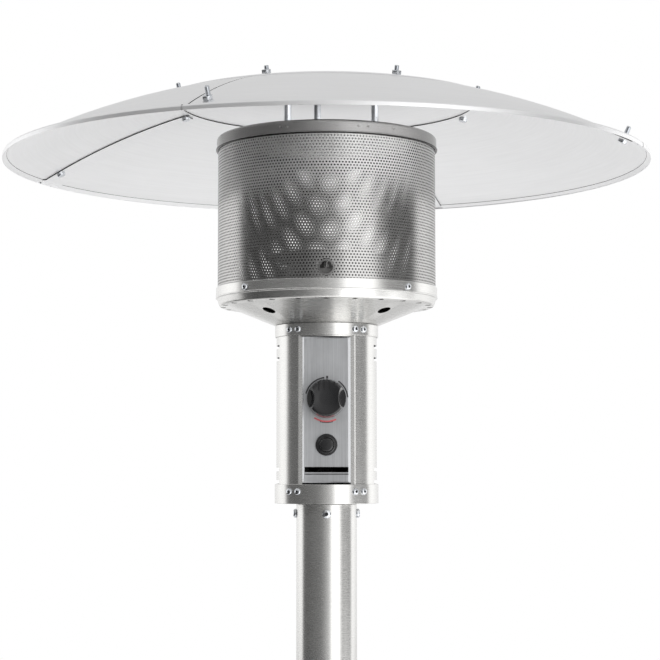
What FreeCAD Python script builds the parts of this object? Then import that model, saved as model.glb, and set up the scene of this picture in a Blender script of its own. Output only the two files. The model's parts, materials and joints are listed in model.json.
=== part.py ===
"""Free-standing tabletop gas heater: weighted base, cylinder housing, post, control head and reflector.

Millimetres, +Z up, origin on the table under the post's axis, the controls face -Y.
"""
import FreeCAD, Part
import math
import os
import re
import Sketcher
from FreeCAD import Placement, Rotation, Vector

# Driving dimensions, each an independent size or count.
SIZES = {
    "fit_gap": 0.3,
    # weighted base
    "base_diameter": 300.0,
    "base_height": 24.0,
    "base_edge_radius": 12.0,
    "base_wall": 1.2,
    "foot_lift": 4.0,
    "foot_diameter": 22.0,
    "foot_inset": 40.0,
    "foot_count": 4,
    "ballast_margin": 18.0,
    "ballast_thickness": 14.0,
    # gas-cylinder housing and what it holds
    "tank_diameter": 132.0,
    "tank_height": 230.0,
    "tank_wall": 1.0,
    "tank_slot_count": 10,
    "tank_slot_width": 5.0,
    "tank_slot_height": 26.0,
    "locator_height": 14.0,
    "locator_wall": 2.0,
    "shoulder_skirt": 14.0,
    "shoulder_rise": 46.0,
    "shoulder_neck": 22.0,
    "tank_screw_count": 3,
    "flange_thickness": 2.5,
    "cylinder_diameter": 100.0,
    "cylinder_headroom": 48.0,
    "cylinder_wall": 1.5,
    "cylinder_neck_diameter": 26.0,
    "cylinder_neck_height": 9.0,
    "regulator_diameter": 44.0,
    "regulator_height": 24.0,
    "hose_diameter": 10.0,
    # post
    "post_diameter": 50.8,
    "post_wall": 1.5,
    "post_length": 339.5,
    "socket_depth": 30.0,
    "socket_wall": 2.0,
    "post_screw_count": 4,
    "post_screw_drop": 8.5,
    # control housing
    "housing_diameter": 87.0,
    "housing_height": 148.6,
    "band_wall": 1.0,
    "lower_band_height": 16.0,
    "upper_band_height": 9.8,
    "cover_wall": 0.8,
    "cover_tab": 4.5,
    "front_half_angle": 28.5,
    "rear_seam_angle": 0.4,
    "floor_thickness": 2.0,
    "band_screw_angle_near": 32.5,
    "band_screw_spacing": 12.0,
    "band_screw_inset": 5.9,
    "cover_headroom": 3.0,
    "cover_slot_length": 30.0,
    "cover_slot_height": 3.0,
    "cover_slot_pitch": 10.2,
    "cover_slot_inset": 14.0,
    # control plate, valve, knob and igniter
    "plate_wall": 1.5,
    "plate_inset_bottom": 3.2,
    "plate_inset_top": 1.5,
    "plate_slot_width": 36.0,
    "plate_slot_height": 4.0,
    "plate_slot_share": 0.191,
    "knob_share": 0.58,
    "knob_diameter": 32.0,
    "knob_depth": 15.5,
    "knob_grip_width": 19.0,
    "knob_scoop_radius": 17.0,
    "knob_scoop_draft": 2.7,
    "knob_scoop_floor": 4.0,
    "knob_flute_width": 1.1,
    "knob_flute_length": 10.0,
    "knob_flute_depth": 1.6,
    "knob_flute_count": 4,
    "knob_travel": 3.5,
    "knob_clearance": 0.7,
    "stem_diameter": 6.0,
    "plunger_wall": 2.2,
    "plunger_length": 14.0,
    "valve_width": 26.0,
    "valve_height": 36.0,
    "valve_reach": 9.0,
    "igniter_share": 0.3257,
    "igniter_collar_diameter": 18.0,
    "igniter_collar_depth": 5.0,
    "igniter_flange_depth": 2.2,
    "igniter_flange_width": 1.8,
    "igniter_button_diameter": 11.0,
    "igniter_button_stand": 6.0,
    "igniter_travel": 5.0,
    "igniter_body_diameter": 15.0,
    "igniter_clearance": 3.0,
    # burner bowl and emitter
    "bowl_wall": 1.0,
    "bowl_shelf": 8.5,
    "bowl_cone_height": 15.9,
    "bowl_diameter": 186.6,
    "bowl_lower_band_height": 7.0,
    "bowl_upper_band_height": 8.9,
    "bowl_taper": 1.8,
    "bowl_step": 1.0,
    "bowl_slot_count": 24,
    "bowl_slot_diameter": 5.0,
    "bowl_vent_diameter": 11.0,
    "bowl_vent_share": 0.62,
    "quarter_count": 4,
    "screen_wall": 0.7,
    "screen_height": 128.3,
    "screen_columns": 40,
    "screen_rows": 8,
    "screen_open_share": 0.5,
    "screen_margin": 9.0,
    "light_hole_diameter": 10.3,
    "light_hole_rise": 16.5,
    "cap_wall": 0.8,
    "cap_height": 11.4,
    "cap_edge_radius": 3.0,
    "cap_lap": 3.9,
    "deflector_top_diameter": 150.0,
    "deflector_tip_diameter": 60.0,
    "deflector_height": 12.0,
    "tray_rise": 5.0,
    "tray_wall": 1.0,
    "burner_diameter": 104.0,
    "burner_neck_diameter": 68.0,
    "burner_height": 37.1,
    "burner_disc": 2.0,
    "burner_port_count": 20,
    "burner_port_diameter": 4.0,
    "mixer_diameter": 22.0,
    "mixer_length": 44.0,
    "injector_diameter": 12.0,
    "injector_length": 14.0,
    "gas_tube_diameter": 8.0,
    "lead_diameter": 3.0,
    "pilot_inset": 16.2,
    "pilot_height": 26.0,
    "pilot_shelf": 8.0,
    "pilot_shield": 19.0,
    "pilot_reach": 6.0,
    "pilot_wall": 1.5,
    "lead_pitch": 8.0,
    # reflector
    "reflector_diameter": 543.0,
    "reflector_wall": 0.8,
    "dome_height": 64.3,
    "rim_width": 6.5,
    "rim_lip": 4.5,
    "rim_bend": 2.0,
    "reflector_drop": 20.1,
    "seam_angle": 22.2,
    "seam_gap_angle": 0.15,
    "lap_angle": 6.4,
    "lap_gap": 0.05,
    "centre_disc_diameter": 296.0,
    "disc_lap": 22.0,
    "inner_bolt_inset": 15.0,
    "outer_bolt_inset": 17.5,
    "inner_bolt_angle": 1.6,
    "outer_bolt_angle": 2.7,
    "standoff_count": 3,
    "standoff_diameter": 6.0,
    "standoff_circle_diameter": 86.0,
    "standoff_start_angle": 41.0,
    # fasteners
    "drill_gap": 0.1,
    "small_screw_diameter": 3.0,
    "small_head_diameter": 5.6,
    "small_head_height": 1.8,
    "bolt_diameter": 4.0,
    "bolt_head_diameter": 7.6,
    "bolt_head_height": 2.6,
    "bolt_length": 12.0,
    "inner_bolt_length": 9.0,
    "nut_flats": 7.0,
    "nut_height": 3.2,
}

# Sizes that follow from the driving ones.
DERIVED = {
    "base_r": "base_diameter / 2",
    "base_top": "foot_lift + base_height",
    "foot_ring": "base_r - foot_inset",
    "ballast_r": "base_r - ballast_margin",
    "ballast_top": "base_top - base_wall",
    "cylinder_height": "tank_height - cylinder_headroom",
    "tank_r": "tank_diameter / 2",
    "tank_in": "tank_r - tank_wall",
    "tank_top": "base_top + tank_height",
    "flange_top": "tank_top + flange_thickness",
    "post_r": "post_diameter / 2",
    "post_in": "post_r - post_wall",
    "socket_r": "post_in - fit_gap",
    "house_z": "flange_top + post_length",
    "house_top": "house_z + housing_height",
    "band_r": "housing_diameter / 2",
    "band_in": "band_r - band_wall",
    "cover_out": "band_in - fit_gap",
    "cover_in": "cover_out - cover_wall",
    "cover_foot": "house_z + floor_thickness + fit_gap",
    "cover_height": "housing_height - floor_thickness - cover_headroom",
    "band_screw_angle_far": "band_screw_angle_near + band_screw_spacing",
    "neck_out": "cover_in - fit_gap",
    "plate_front": "cover_in * cos(front_half_angle)",
    "plate_back": "plate_front - plate_wall",
    "plate_half": "cover_in * sin(front_half_angle) - fit_gap",
    "plate_foot": "house_z + lower_band_height + plate_inset_bottom",
    "plate_top": "house_top - upper_band_height - plate_inset_top",
    "neck_foot": "plate_top + fit_gap",
    "plate_slot_z": "house_z + housing_height * plate_slot_share",
    "knob_z": "house_z + housing_height * knob_share",
    "knob_stand": "knob_travel + knob_clearance",
    "stem_r": "stem_diameter / 2",
    "plunger_in": "stem_r + fit_gap",
    "plunger_r": "plunger_in + plunger_wall",
    "valve_bore": "plunger_r + fit_gap",
    "valve_top": "knob_z + valve_height / 2",
    "valve_foot": "knob_z - valve_height / 2",
    "igniter_z": "house_z + housing_height * igniter_share",
    "igniter_length": "plate_back - hose_diameter / 2 - igniter_clearance",
    "button_r": "igniter_button_diameter / 2",
    "button_bore": "button_r + fit_gap",
    "bowl_r": "bowl_diameter / 2",
    "bowl_low_r": "bowl_r - bowl_step",
    "cone_r": "bowl_low_r - bowl_taper - bowl_shelf",
    "cone_z": "house_top + bowl_cone_height",
    "bowl_mid_z": "cone_z + bowl_lower_band_height",
    "bowl_top": "bowl_mid_z + bowl_upper_band_height",
    "screen_r": "bowl_r - bowl_wall - fit_gap",
    "screen_foot": "bowl_mid_z + bowl_wall",
    "screen_top": "screen_foot + screen_height",
    "cap_foot": "screen_top - cap_lap",
    "cap_top": "cap_foot + cap_height",
    "cap_in": "screen_r + fit_gap",
    "cap_r": "cap_in + cap_wall",
    "tray_z": "cone_z + bowl_wall + tray_rise",
    "tray_r": "bowl_low_r - bowl_taper - bowl_wall - fit_gap",
    "burner_r": "burner_diameter / 2",
    "burner_neck_r": "burner_neck_diameter / 2",
    "mixer_r": "mixer_diameter / 2",
    "mixer_foot": "tray_z - mixer_length",
    "injector_r": "injector_diameter / 2",
    "injector_foot": "mixer_foot - injector_length / 2",
    "pilot_r": "tray_r - pilot_inset",
    "run_z": "tray_z - tray_wall - lead_diameter / 2 - 0.6",
    "rim_r": "reflector_diameter / 2",
    "dish_r": "rim_r - rim_width",
    "dish_z": "cap_top - reflector_drop",
    "dome_r": "(dish_r ^ 2 + dome_height ^ 2) / (2 * dome_height)",
    "dome_z": "dish_z + dome_height - dome_r",
    "disc_r": "centre_disc_diameter / 2",
    "panel_in": "disc_r - disc_lap",
    "inner_bolt_r": "disc_r - inner_bolt_inset",
    "outer_bolt_r": "rim_r - outer_bolt_inset",
    "standoff_r": "standoff_diameter / 2",
    "standoff_ring": "standoff_circle_diameter / 2",
    "standoff_top": "dome_z + sqrt(dome_r ^ 2 - standoff_ring ^ 2) + reflector_wall",
}

doc = FreeCAD.newDocument("tabletop_heater")
sheet = doc.addObject("Spreadsheet::Sheet", "Sizes")
for row, (alias, number) in enumerate(SIZES.items(), start=1):
    sheet.set(f"A{row}", alias)
    sheet.set(f"B{row}", str(number))
    sheet.setAlias(f"B{row}", alias)
doc.recompute()

NODES = {}
DRILLS = {}


def sized(formula):
    """Write a formula of size names as an expression on the sheet's cells."""

    def swap(match):
        word = match.group(0)
        if word in DERIVED:
            return f"({sized(DERIVED[word])})"
        return f"Sizes.{word}" if word in SIZES else word

    return re.sub(r"[a-z_]\w*", swap, str(formula))


def value(formula):
    """Return what a formula comes to with the sheet's present numbers."""
    result = sheet.evalExpression(sized(formula))
    return float(getattr(result, "Value", result))


def bind(thing, **formulas):
    """Bind properties to formulas; a double underscore stands for a dot in the property's path."""
    for path, formula in formulas.items():
        thing.setExpression(path.replace("__", "."), sized(formula))


def place(thing, x=0, y=0, z=0, axis=(0, 0, 1), turn=0):
    """Put an object at a bound position, turned about an axis by a bound angle."""
    thing.Placement = Placement(Vector(value(x), value(y), value(z)), Rotation(Vector(*axis), value(turn)))
    bind(thing, Placement__Base__x=x, Placement__Base__y=y, Placement__Base__z=z)
    if turn != 0:
        bind(thing, Placement__Rotation__Angle=turn)


def node(thing, label):
    """Name an object as a finished piece."""
    thing.Label = label
    NODES[label] = thing
    return thing


def origin_part(owner, role):
    """Return one plane or axis of a body's own origin."""
    return next(part for part in owner.Origin.OriginFeatures if part.Role == role)


def new_body(label):
    """Start a body that becomes a finished piece."""
    return node(doc.addObject("PartDesign::Body", label), label)


def arc_between(start, end, radius, side):
    """Return the shorter arc of a radius between two points, bulging to the right (+1) or left (-1)."""
    chord = end - start
    right = Vector(chord.y, -chord.x, 0).normalize()
    set_back = math.sqrt(max(radius ** 2 - (chord.Length / 2) ** 2, 0))
    centre = (start + end) * 0.5 - right * (side * set_back)
    first, last = (start, end) if side > 0 else (end, start)
    begin = math.atan2(first.y - centre.y, first.x - centre.x)
    finish = math.atan2(last.y - centre.y, last.x - centre.x)
    if finish < begin:
        finish += 2 * math.pi
    return Part.ArcOfCircle(Part.Circle(centre, Vector(0, 0, 1), radius), begin, finish)


def outline(owner, name, plane, corners):
    """Draw a closed sketch; a corner is (x, y), or (x, y, radius, side) where an arc leads to the next."""
    sketch = owner.newObject("Sketcher::SketchObject", name)
    sketch.AttachmentSupport = (origin_part(owner, plane), [""])
    sketch.MapMode = "FlatFace"
    points = [Vector(value(corner[0]), value(corner[1]), 0) for corner in corners]
    count = len(points)
    ends = []
    for index, corner in enumerate(corners):
        start, end = points[index], points[(index + 1) % count]
        if len(corner) == 2:
            sketch.addGeometry(Part.LineSegment(start, end), False)
            ends.append((1, 2))
        else:
            sketch.addGeometry(arc_between(start, end, value(corner[2]), corner[3]), False)
            ends.append((1, 2) if corner[3] > 0 else (2, 1))
    for index in range(count):
        after = (index + 1) % count
        sketch.addConstraint(Sketcher.Constraint("Coincident", index, ends[index][1], after, ends[after][0]))
    for index, corner in enumerate(corners):
        for kind, formula in (("DistanceX", corner[0]), ("DistanceY", corner[1])):
            dimension = Sketcher.Constraint(kind, -1, 1, index, ends[index][0], value(formula))
            bind(sketch, **{f"Constraints[{sketch.addConstraint(dimension)}]": formula})
        if len(corner) > 2:
            dimension = Sketcher.Constraint("Radius", index, value(corner[2]))
            bind(sketch, **{f"Constraints[{sketch.addConstraint(dimension)}]": corner[2]})
    return sketch


def turned(owner, name, corners, angle=360, kind="Revolution", axis="V_Axis"):
    """Revolve an outline in the XZ plane about its own vertical or horizontal axis."""
    sketch = outline(owner, f"{name}_outline", "XZ_Plane", corners)
    feature = owner.newObject(f"PartDesign::{kind}", name)
    feature.Profile = sketch
    feature.ReferenceAxis = (sketch, [axis])
    feature.Angle = value(angle)
    if angle != 360:
        bind(feature, Angle=angle)
    return feature, sketch


def turned_at(owner, name, corners, x, z, tilt=0, kind="Revolution"):
    """Revolve an outline about a line through (x, z) that leans outwards by an angle."""
    feature, sketch = turned(owner, name, corners, kind=kind)
    sketch.AttachmentOffset = Placement(Vector(value(x), value(z), 0), Rotation(Vector(0, 0, -1), value(tilt)))
    bind(sketch, AttachmentOffset__Base__x=x, AttachmentOffset__Base__y=z)
    if tilt != 0:
        bind(sketch, AttachmentOffset__Rotation__Angle=tilt)
    return feature


def around(owner, features, count):
    """Repeat features evenly about the body's Z axis."""
    doc.recompute()
    pattern = owner.newObject("PartDesign::PolarPattern", f"{owner.Name}_pattern")
    pattern.Originals = features
    pattern.Axis = (origin_part(owner, "Z_Axis"), [""])
    pattern.Angle = 360
    bind(pattern, Occurrences=count)
    owner.Tip = pattern
    return pattern


def ring(inner, outer, foot, top):
    """Corners of a plain ring's section."""
    return [(inner, foot), (outer, foot), (outer, top), (inner, top)]


def along_radius(owner, name, corners, height, turn):
    """Revolve an outline about a line that points at the body's axis, at a height and an angle about it."""
    feature, sketch = turned(owner, name, corners, axis="H_Axis")
    sketch.AttachmentOffset = Placement(Vector(0, value(height), 0), Rotation(Vector(0, 1, 0), value(turn)))
    bind(sketch, AttachmentOffset__Base__y=height)
    if turn != 0:
        bind(sketch, AttachmentOffset__Rotation__Angle=turn)
    return feature


def radial_screws(label, seats, count=1, turn=0):
    """Set domed screws that point at the axis, and the drill for their holes.

    A seat is (wall radius under the head, height, angle, shank length); all repeat evenly about the axis.
    """
    screws = new_body(label)
    drill = DRILLS[label] = doc.addObject("PartDesign::Body", f"{label}_drill")
    shank, head = "small_screw_diameter / 2", "small_head_diameter / 2"
    bored = f"{shank} + drill_gap"
    features, holes = [], []
    for index, (wall, height, angle, length) in enumerate(seats):
        features.append(along_radius(screws, f"{label}_{index}", [
            (f"{wall} - {length}", 0),
            (f"{wall} - {length}", shank),
            (wall, shank),
            (wall, head),
            (f"{wall} + small_head_height * 0.35", head, "small_head_diameter * 0.62", -1),
            (f"{wall} + small_head_height", 0),
        ], height, angle))
        holes.append(along_radius(drill, f"{label}_hole_{index}", [
            (f"{wall} - {length} - 1", 0),
            (f"{wall} - {length} - 1", bored),
            (f"{wall} + 1", bored),
            (f"{wall} + 1", 0),
        ], height, angle))
    for owner, parts in ((screws, features), (drill, holes)):
        if count != 1:
            around(owner, parts, count)
        if turn != 0:
            place(owner, turn=turn)


def block(x, y, z, length, width, height):
    """Make a box from its lower corner and its sizes."""
    box = doc.addObject("Part::Box", "Block")
    bind(box, Length=length, Width=width, Height=height)
    place(box, x, y, z)
    return box


DIRECTIONS = {"up": ((0, 0, 1), 0), "front": ((1, 0, 0), 90), "right": ((0, 1, 0), 90)}


def rod(radius, length, x=0, y=0, z=0, toward="up"):
    """Make a cylinder from the centre of its first end."""
    bar = doc.addObject("Part::Cylinder", "Rod")
    bind(bar, Radius=radius, Height=length)
    axis, turn = DIRECTIONS[toward]
    place(bar, x, y, z, axis)
    bar.Placement.Rotation = Rotation(Vector(*axis), turn)
    return bar


def fused(parts):
    """Join solids into one."""
    joined = doc.addObject("Part::MultiFuse", "Joined")
    joined.Shapes = parts
    return joined


def minus(base, tools):
    """Cut tools out of a solid."""
    cut = doc.addObject("Part::Cut", "Cut")
    cut.Base = base
    cut.Tool = tools[0] if len(tools) == 1 else fused(tools)
    return cut


def make_base():
    """Spun pan on rubber feet, with a cast ballast under it."""
    pan = new_body("base_pan")
    edge = "base_edge_radius"
    turned(pan, "pan", [
        ("base_r - base_wall", "foot_lift"),
        ("base_r", "foot_lift"),
        ("base_r", f"base_top - {edge}", edge, 1),
        (f"base_r - {edge}", "base_top"),
        (0, "base_top"),
        (0, "base_top - base_wall"),
        (f"base_r - {edge}", "base_top - base_wall", f"{edge} - base_wall", -1),
        ("base_r - base_wall", f"base_top - {edge}"),
    ])
    ballast = new_body("base_weight")
    bottom = "ballast_top - ballast_thickness"
    turned(ballast, "weight", [
        (0, bottom),
        ("ballast_r - 4", bottom),
        ("ballast_r", f"{bottom} + 4"),
        ("ballast_r", "ballast_top"),
        (0, "ballast_top"),
    ])
    feet = new_body("rubber_feet")
    foot = turned_at(feet, "foot", [
        (0, 0),
        ("foot_diameter / 2 - 2", 0),
        ("foot_diameter / 2", 3),
        ("foot_diameter / 2", bottom),
        (0, bottom),
    ], "foot_ring", 0)
    around(feet, [foot], "foot_count")
    place(feet, turn=45)


def make_tank():
    """Slotted cylinder housing on its locating ring, the spun shoulder and the gas supply inside."""
    locator = new_body("tank_locator_ring")
    turned(locator, "locator", ring("tank_in - fit_gap - locator_wall", "tank_in - fit_gap",
                                    "base_top", "base_top + locator_height"))
    shell = new_body("tank_housing")
    turned(shell, "shell", ring("tank_in", "tank_r", "base_top", "tank_top"))
    slots = []
    for rise in ("locator_height + 8", "tank_height - shoulder_skirt - tank_slot_height - 10"):
        sketch = outline(shell, f"slot_outline_{len(slots)}", "XZ_Plane", [
            ("-tank_slot_width / 2", f"base_top + {rise}"),
            ("tank_slot_width / 2", f"base_top + {rise}"),
            ("tank_slot_width / 2", f"base_top + {rise} + tank_slot_height"),
            ("-tank_slot_width / 2", f"base_top + {rise} + tank_slot_height"),
        ])
        slot = shell.newObject("PartDesign::Pocket", f"slot_{len(slots)}")
        slot.Profile = sketch
        slot.Type = "ThroughAll"
        slots.append(slot)
    around(shell, slots, "tank_slot_count")
    shoulder = new_body("tank_housing_cap")
    skirt_in, skirt_out = "tank_r + fit_gap", "tank_r + fit_gap + tank_wall"
    neck_in, neck_out = "post_r + fit_gap", "post_r + fit_gap + tank_wall"
    low, high = "flange_top", "flange_top + shoulder_rise"
    bend = "shoulder_rise * 1.15"
    turned(shoulder, "shoulder", [
        (skirt_in, "tank_top - shoulder_skirt"),
        (skirt_out, "tank_top - shoulder_skirt"),
        (skirt_out, low, bend, 1),
        (neck_out, high),
        (neck_out, f"{high} + shoulder_neck"),
        (neck_in, f"{high} + shoulder_neck"),
        (neck_in, f"{high} - tank_wall", bend, -1),
        (f"{skirt_in} - tank_wall", low),
        (skirt_in, low),
    ])
    flange = new_body("post_flange")
    turned(flange, "flange", [
        ("socket_r - socket_wall", "tank_top"),
        ("tank_r", "tank_top"),
        ("tank_r", "flange_top"),
        ("socket_r", "flange_top"),
        ("socket_r", f"{high} + shoulder_neck - 4"),
        ("socket_r - socket_wall", f"{high} + shoulder_neck - 4"),
    ])
    radial_screws("tank_housing_screws", [
        ("tank_r", "base_top + locator_height / 2", 0, 4),
        (skirt_out, "tank_top - shoulder_skirt / 2", 0, 3),
    ], "tank_screw_count", -30)
    radial_screws("post_screws_lower", [(neck_out, f"{high} + shoulder_neck / 2", 0, 5)], "post_screw_count")
    bottle = new_body("gas_cylinder")
    wide, narrow = "cylinder_diameter / 2", "cylinder_neck_diameter / 2"
    crown = "base_top + cylinder_height"
    skin = "cylinder_wall"
    turned(bottle, "bottle", [
        (0, "base_top"),
        (f"{wide} - 12", "base_top", 12, 1),
        (wide, "base_top + 12"),
        (wide, f"{crown} - 30", 40, 1),
        (narrow, crown),
        (narrow, f"{crown} + cylinder_neck_height"),
        (0, f"{crown} + cylinder_neck_height"),
        (0, f"{crown} - {skin}"),
        (f"{narrow} - {skin}", f"{crown} - {skin}", f"40 - {skin}", -1),
        (f"{wide} - {skin}", f"{crown} - 30"),
        (f"{wide} - {skin}", "base_top + 12", f"12 - {skin}", -1),
        (f"{wide} - 12", f"base_top + {skin}"),
        (0, f"base_top + {skin}"),
    ])
    regulator = new_body("regulator")
    seat = f"{crown} + cylinder_neck_height"
    turned(regulator, "regulator", [
        (0, seat),
        ("cylinder_neck_diameter / 2 + 2", seat),
        ("regulator_diameter / 2", f"{seat} + 5"),
        ("regulator_diameter / 2", f"{seat} + regulator_height - 8"),
        ("hose_diameter / 2 + 3", f"{seat} + regulator_height - 4"),
        ("hose_diameter / 2 + 3", f"{seat} + regulator_height"),
        (0, f"{seat} + regulator_height"),
    ])
    hose = new_body("gas_hose")
    turned(hose, "hose", [
        (0, f"{seat} + regulator_height"),
        ("hose_diameter / 2", f"{seat} + regulator_height"),
        ("hose_diameter / 2", "valve_foot"),
        (0, "valve_foot"),
    ])


def make_post():
    """Round post and the screws that hold it to the head's spigot."""
    post = new_body("post")
    turned(post, "tube", ring("post_in", "post_r", "flange_top", "house_z"))
    radial_screws("post_screws_upper", [("post_r", "house_z - post_screw_drop", 0, 4)], "post_screw_count")


def make_cover(label, side):
    """Half of the round housing wall, with a tab behind the control plate and louvre slots at its side."""
    wall = doc.addObject("Part::Cylinder", "Cover")
    bind(wall, Radius="cover_out", Height="cover_height", Angle="180 - front_half_angle - rear_seam_angle")
    place(wall, z="cover_foot", turn="front_half_angle - 90" if side > 0 else "90 + rear_seam_angle")
    shell = minus(wall, [rod("cover_in", "cover_height", z="cover_foot")])
    tab_start = "plate_half - cover_tab"
    tab_length = "sqrt((cover_out - cover_wall / 2) ^ 2 - plate_back ^ 2) - plate_half + cover_tab"
    tab_x = tab_start if side > 0 else f"-({tab_start} + {tab_length})"
    tab = block(tab_x, "-plate_back", "plate_foot", tab_length, "cover_wall", "plate_top - plate_foot")
    slot_x = "cover_in - 12" if side > 0 else "-cover_in - 8"
    first, last = "cover_foot + cover_slot_inset", "cover_foot + cover_height - cover_slot_inset - cover_slot_height"
    rises = (f"{first}", f"{first} + cover_slot_pitch", f"{last}", f"{last} - cover_slot_pitch")
    slots = [block(slot_x, "-cover_slot_length / 2", rise, 20, "cover_slot_length", "cover_slot_height")
             for rise in rises]
    node(minus(fused([shell, tab]), slots), label)


def make_housing():
    """Round control housing on the post: floor, two bands, two covers and their screws."""
    floor = new_body("housing_floor")
    turned(floor, "floor", [
        ("socket_r - socket_wall", "house_z - socket_depth"),
        ("socket_r", "house_z - socket_depth"),
        ("socket_r", "house_z"),
        ("cover_out", "house_z"),
        ("cover_out", "house_z + floor_thickness"),
        ("socket_r - socket_wall", "house_z + floor_thickness"),
    ])
    lower = new_body("lower_band")
    turned(lower, "band", ring("band_in", "band_r", "house_z", "house_z + lower_band_height"))
    upper = new_body("upper_band")
    turned(upper, "band", ring("band_in", "band_r", "house_top - upper_band_height", "house_top"))
    make_cover("side_cover_right", 1)
    make_cover("side_cover_left", -1)
    seats = []
    for height in ("house_z + lower_band_height - band_screw_inset", "house_top - upper_band_height / 2"):
        for start in (90, -90):
            for side in ("+", "-"):
                seats += [("band_r", height, f"{start} {side} band_screw_angle_{spot}", 3) for spot in ("near", "far")]
    radial_screws("housing_screws", seats)


def make_controls():
    """Control plate with the gas valve, its push-and-turn knob, and the push igniter."""
    depth = "plate_wall"
    plate = block("-plate_half", "-plate_front", "plate_foot", "2 * plate_half", depth, "plate_top - plate_foot")
    openings = [
        rod("valve_bore", 12, 0, "-plate_back + 4", "knob_z", "front"),
        rod("button_bore", 12, 0, "-plate_back + 4", "igniter_z", "front"),
        block("-plate_slot_width / 2", "-plate_front - 4", "plate_slot_z - plate_slot_height / 2",
              "plate_slot_width", 12, "plate_slot_height"),
    ]
    node(minus(plate, openings), "control_plate")
    valve = block("-valve_width / 2", "-plate_back", "valve_foot", "valve_width", "plate_back + valve_reach",
                  "valve_height")
    bore_depth = "plunger_length + knob_travel + 6"
    bore = rod("valve_bore", f"{bore_depth} + 4", 0, f"-plate_back + {bore_depth}", "knob_z", "front")
    node(minus(valve, [bore]), "valve_body")
    plunger = rod("plunger_r", "plunger_length", 0, "-plate_back + plunger_length + 2", "knob_z", "front")
    hole = rod("plunger_in", "plunger_length + 8", 0, "-plate_back + plunger_length + 6", "knob_z", "front")
    node(minus(plunger, [hole]), "valve_plunger")
    stem_reach = "plunger_length + 2 - fit_gap"
    stem = rod("stem_r", f"{stem_reach} + plate_wall + knob_stand + knob_depth / 2", 0,
               f"-plate_back + {stem_reach}", "knob_z", "front")
    node(stem, "valve_stem")
    make_knob()
    make_igniter()


def make_knob():
    """Round knob with two finger scoops, a fluted pointer edge and a blind socket for the stem."""
    turn = doc.addObject("PartDesign::Body", "knob_blank")
    half = "knob_diameter / 2"
    turned(turn, "blank", [
        (0, "knob_stand"),
        (half, "knob_stand"),
        (half, "knob_stand + 3"),
        (f"{half} - 1", "knob_stand + knob_depth - 2", 2, 1),
        (f"{half} - 3", "knob_stand + knob_depth"),
        ("knob_diameter / 6", "knob_stand + knob_depth - 1"),
        (0, "knob_stand + knob_depth - 1"),
    ])
    place(turn, 0, "-plate_front", "knob_z", (1, 0, 0))
    turn.Placement.Rotation = Rotation(Vector(1, 0, 0), 90)
    scoops = []
    for label, side in (("right", ""), ("left", "-")):
        scoop = doc.addObject("PartDesign::Body", f"knob_scoop_{label}")
        turned(scoop, f"scoop_{label}", [
            (0, "knob_stand + knob_scoop_floor"),
            ("knob_scoop_radius - knob_scoop_draft", "knob_stand + knob_scoop_floor"),
            ("knob_scoop_radius", "knob_stand + knob_depth"),
            ("knob_scoop_radius", "knob_stand + knob_depth + 2"),
            (0, "knob_stand + knob_depth + 2"),
        ])
        place(scoop, f"{side}(knob_grip_width / 2 + knob_scoop_radius)", "-plate_front", "knob_z", (1, 0, 0))
        scoop.Placement.Rotation = Rotation(Vector(1, 0, 0), 90)
        scoops.append(scoop)
    flutes = []
    face = "-plate_front - knob_stand - knob_depth"
    for index in range(int(value("knob_flute_count"))):
        x = f"({index} - (knob_flute_count - 1) / 2) * knob_grip_width / (knob_flute_count + 0.5)"
        flutes.append(block(f"{x} - knob_flute_width / 2", f"{face} - 2", f"knob_z + {half} - knob_flute_length",
                            "knob_flute_width", "knob_flute_depth + 2", "knob_flute_length + 2"))
    socket = rod("stem_r", "knob_depth / 2 + 2", 0, "-plate_front - knob_stand + 2", "knob_z", "front")
    node(minus(turn, scoops + flutes + [socket]), "knob")


def make_igniter():
    """Push igniter: collar on the plate, spring body behind it and a long button through both."""
    axis_z = "igniter_z"
    collar = doc.addObject("PartDesign::Body", "collar_blank")
    wide = "igniter_collar_diameter / 2"
    turned(collar, "collar", [
        ("button_bore", 0),
        (wide, 0),
        (wide, "igniter_flange_depth - 0.8", 0.8, 1),
        (f"{wide} - 0.8", "igniter_flange_depth"),
        (f"{wide} - igniter_flange_width", "igniter_flange_depth"),
        (f"{wide} - igniter_flange_width", "igniter_collar_depth - 0.8", 0.8, 1),
        (f"{wide} - igniter_flange_width - 0.8", "igniter_collar_depth"),
        ("button_bore", "igniter_collar_depth"),
    ])
    place(collar, 0, "-plate_front", axis_z, (1, 0, 0))
    collar.Placement.Rotation = Rotation(Vector(1, 0, 0), 90)
    node(collar, "igniter_collar")
    barrel = rod("igniter_body_diameter / 2", "igniter_length", 0, "-plate_back + igniter_length", axis_z, "front")
    bore = rod("button_bore", "igniter_travel + 16", 0, "-plate_back + igniter_travel + 12", axis_z, "front")
    node(minus(barrel, [bore]), "igniter_body")
    button = doc.addObject("PartDesign::Body", "button_blank")
    tip = "igniter_collar_depth + igniter_button_stand"
    turned(button, "button", [
        (0, "-plate_wall - 9"),
        ("button_r", "-plate_wall - 9"),
        ("button_r", f"{tip} - 1", 1.2, 1),
        ("button_r - 1", tip),
        (0, tip),
    ])
    place(button, 0, "-plate_front", axis_z, (1, 0, 0))
    button.Placement.Rotation = Rotation(Vector(1, 0, 0), 90)
    node(button, "igniter_button")


def lead(label, radius, points):
    """Round tube or wire through corner points, with a ball at each bend."""
    spots = [Vector(*(value(part) for part in point)) for point in points]
    size = value(radius)
    pieces = []
    for start, end in zip(spots, spots[1:]):
        pieces.append(Part.makeCylinder(size, (end - start).Length, start, end - start))
    pieces += [Part.makeSphere(size, spot) for spot in spots[1:-1]]
    piece = doc.addObject("Part::Feature", label)
    piece.Shape = pieces[0].multiFuse(pieces[1:]).removeSplitter()
    return node(piece, label)


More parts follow.
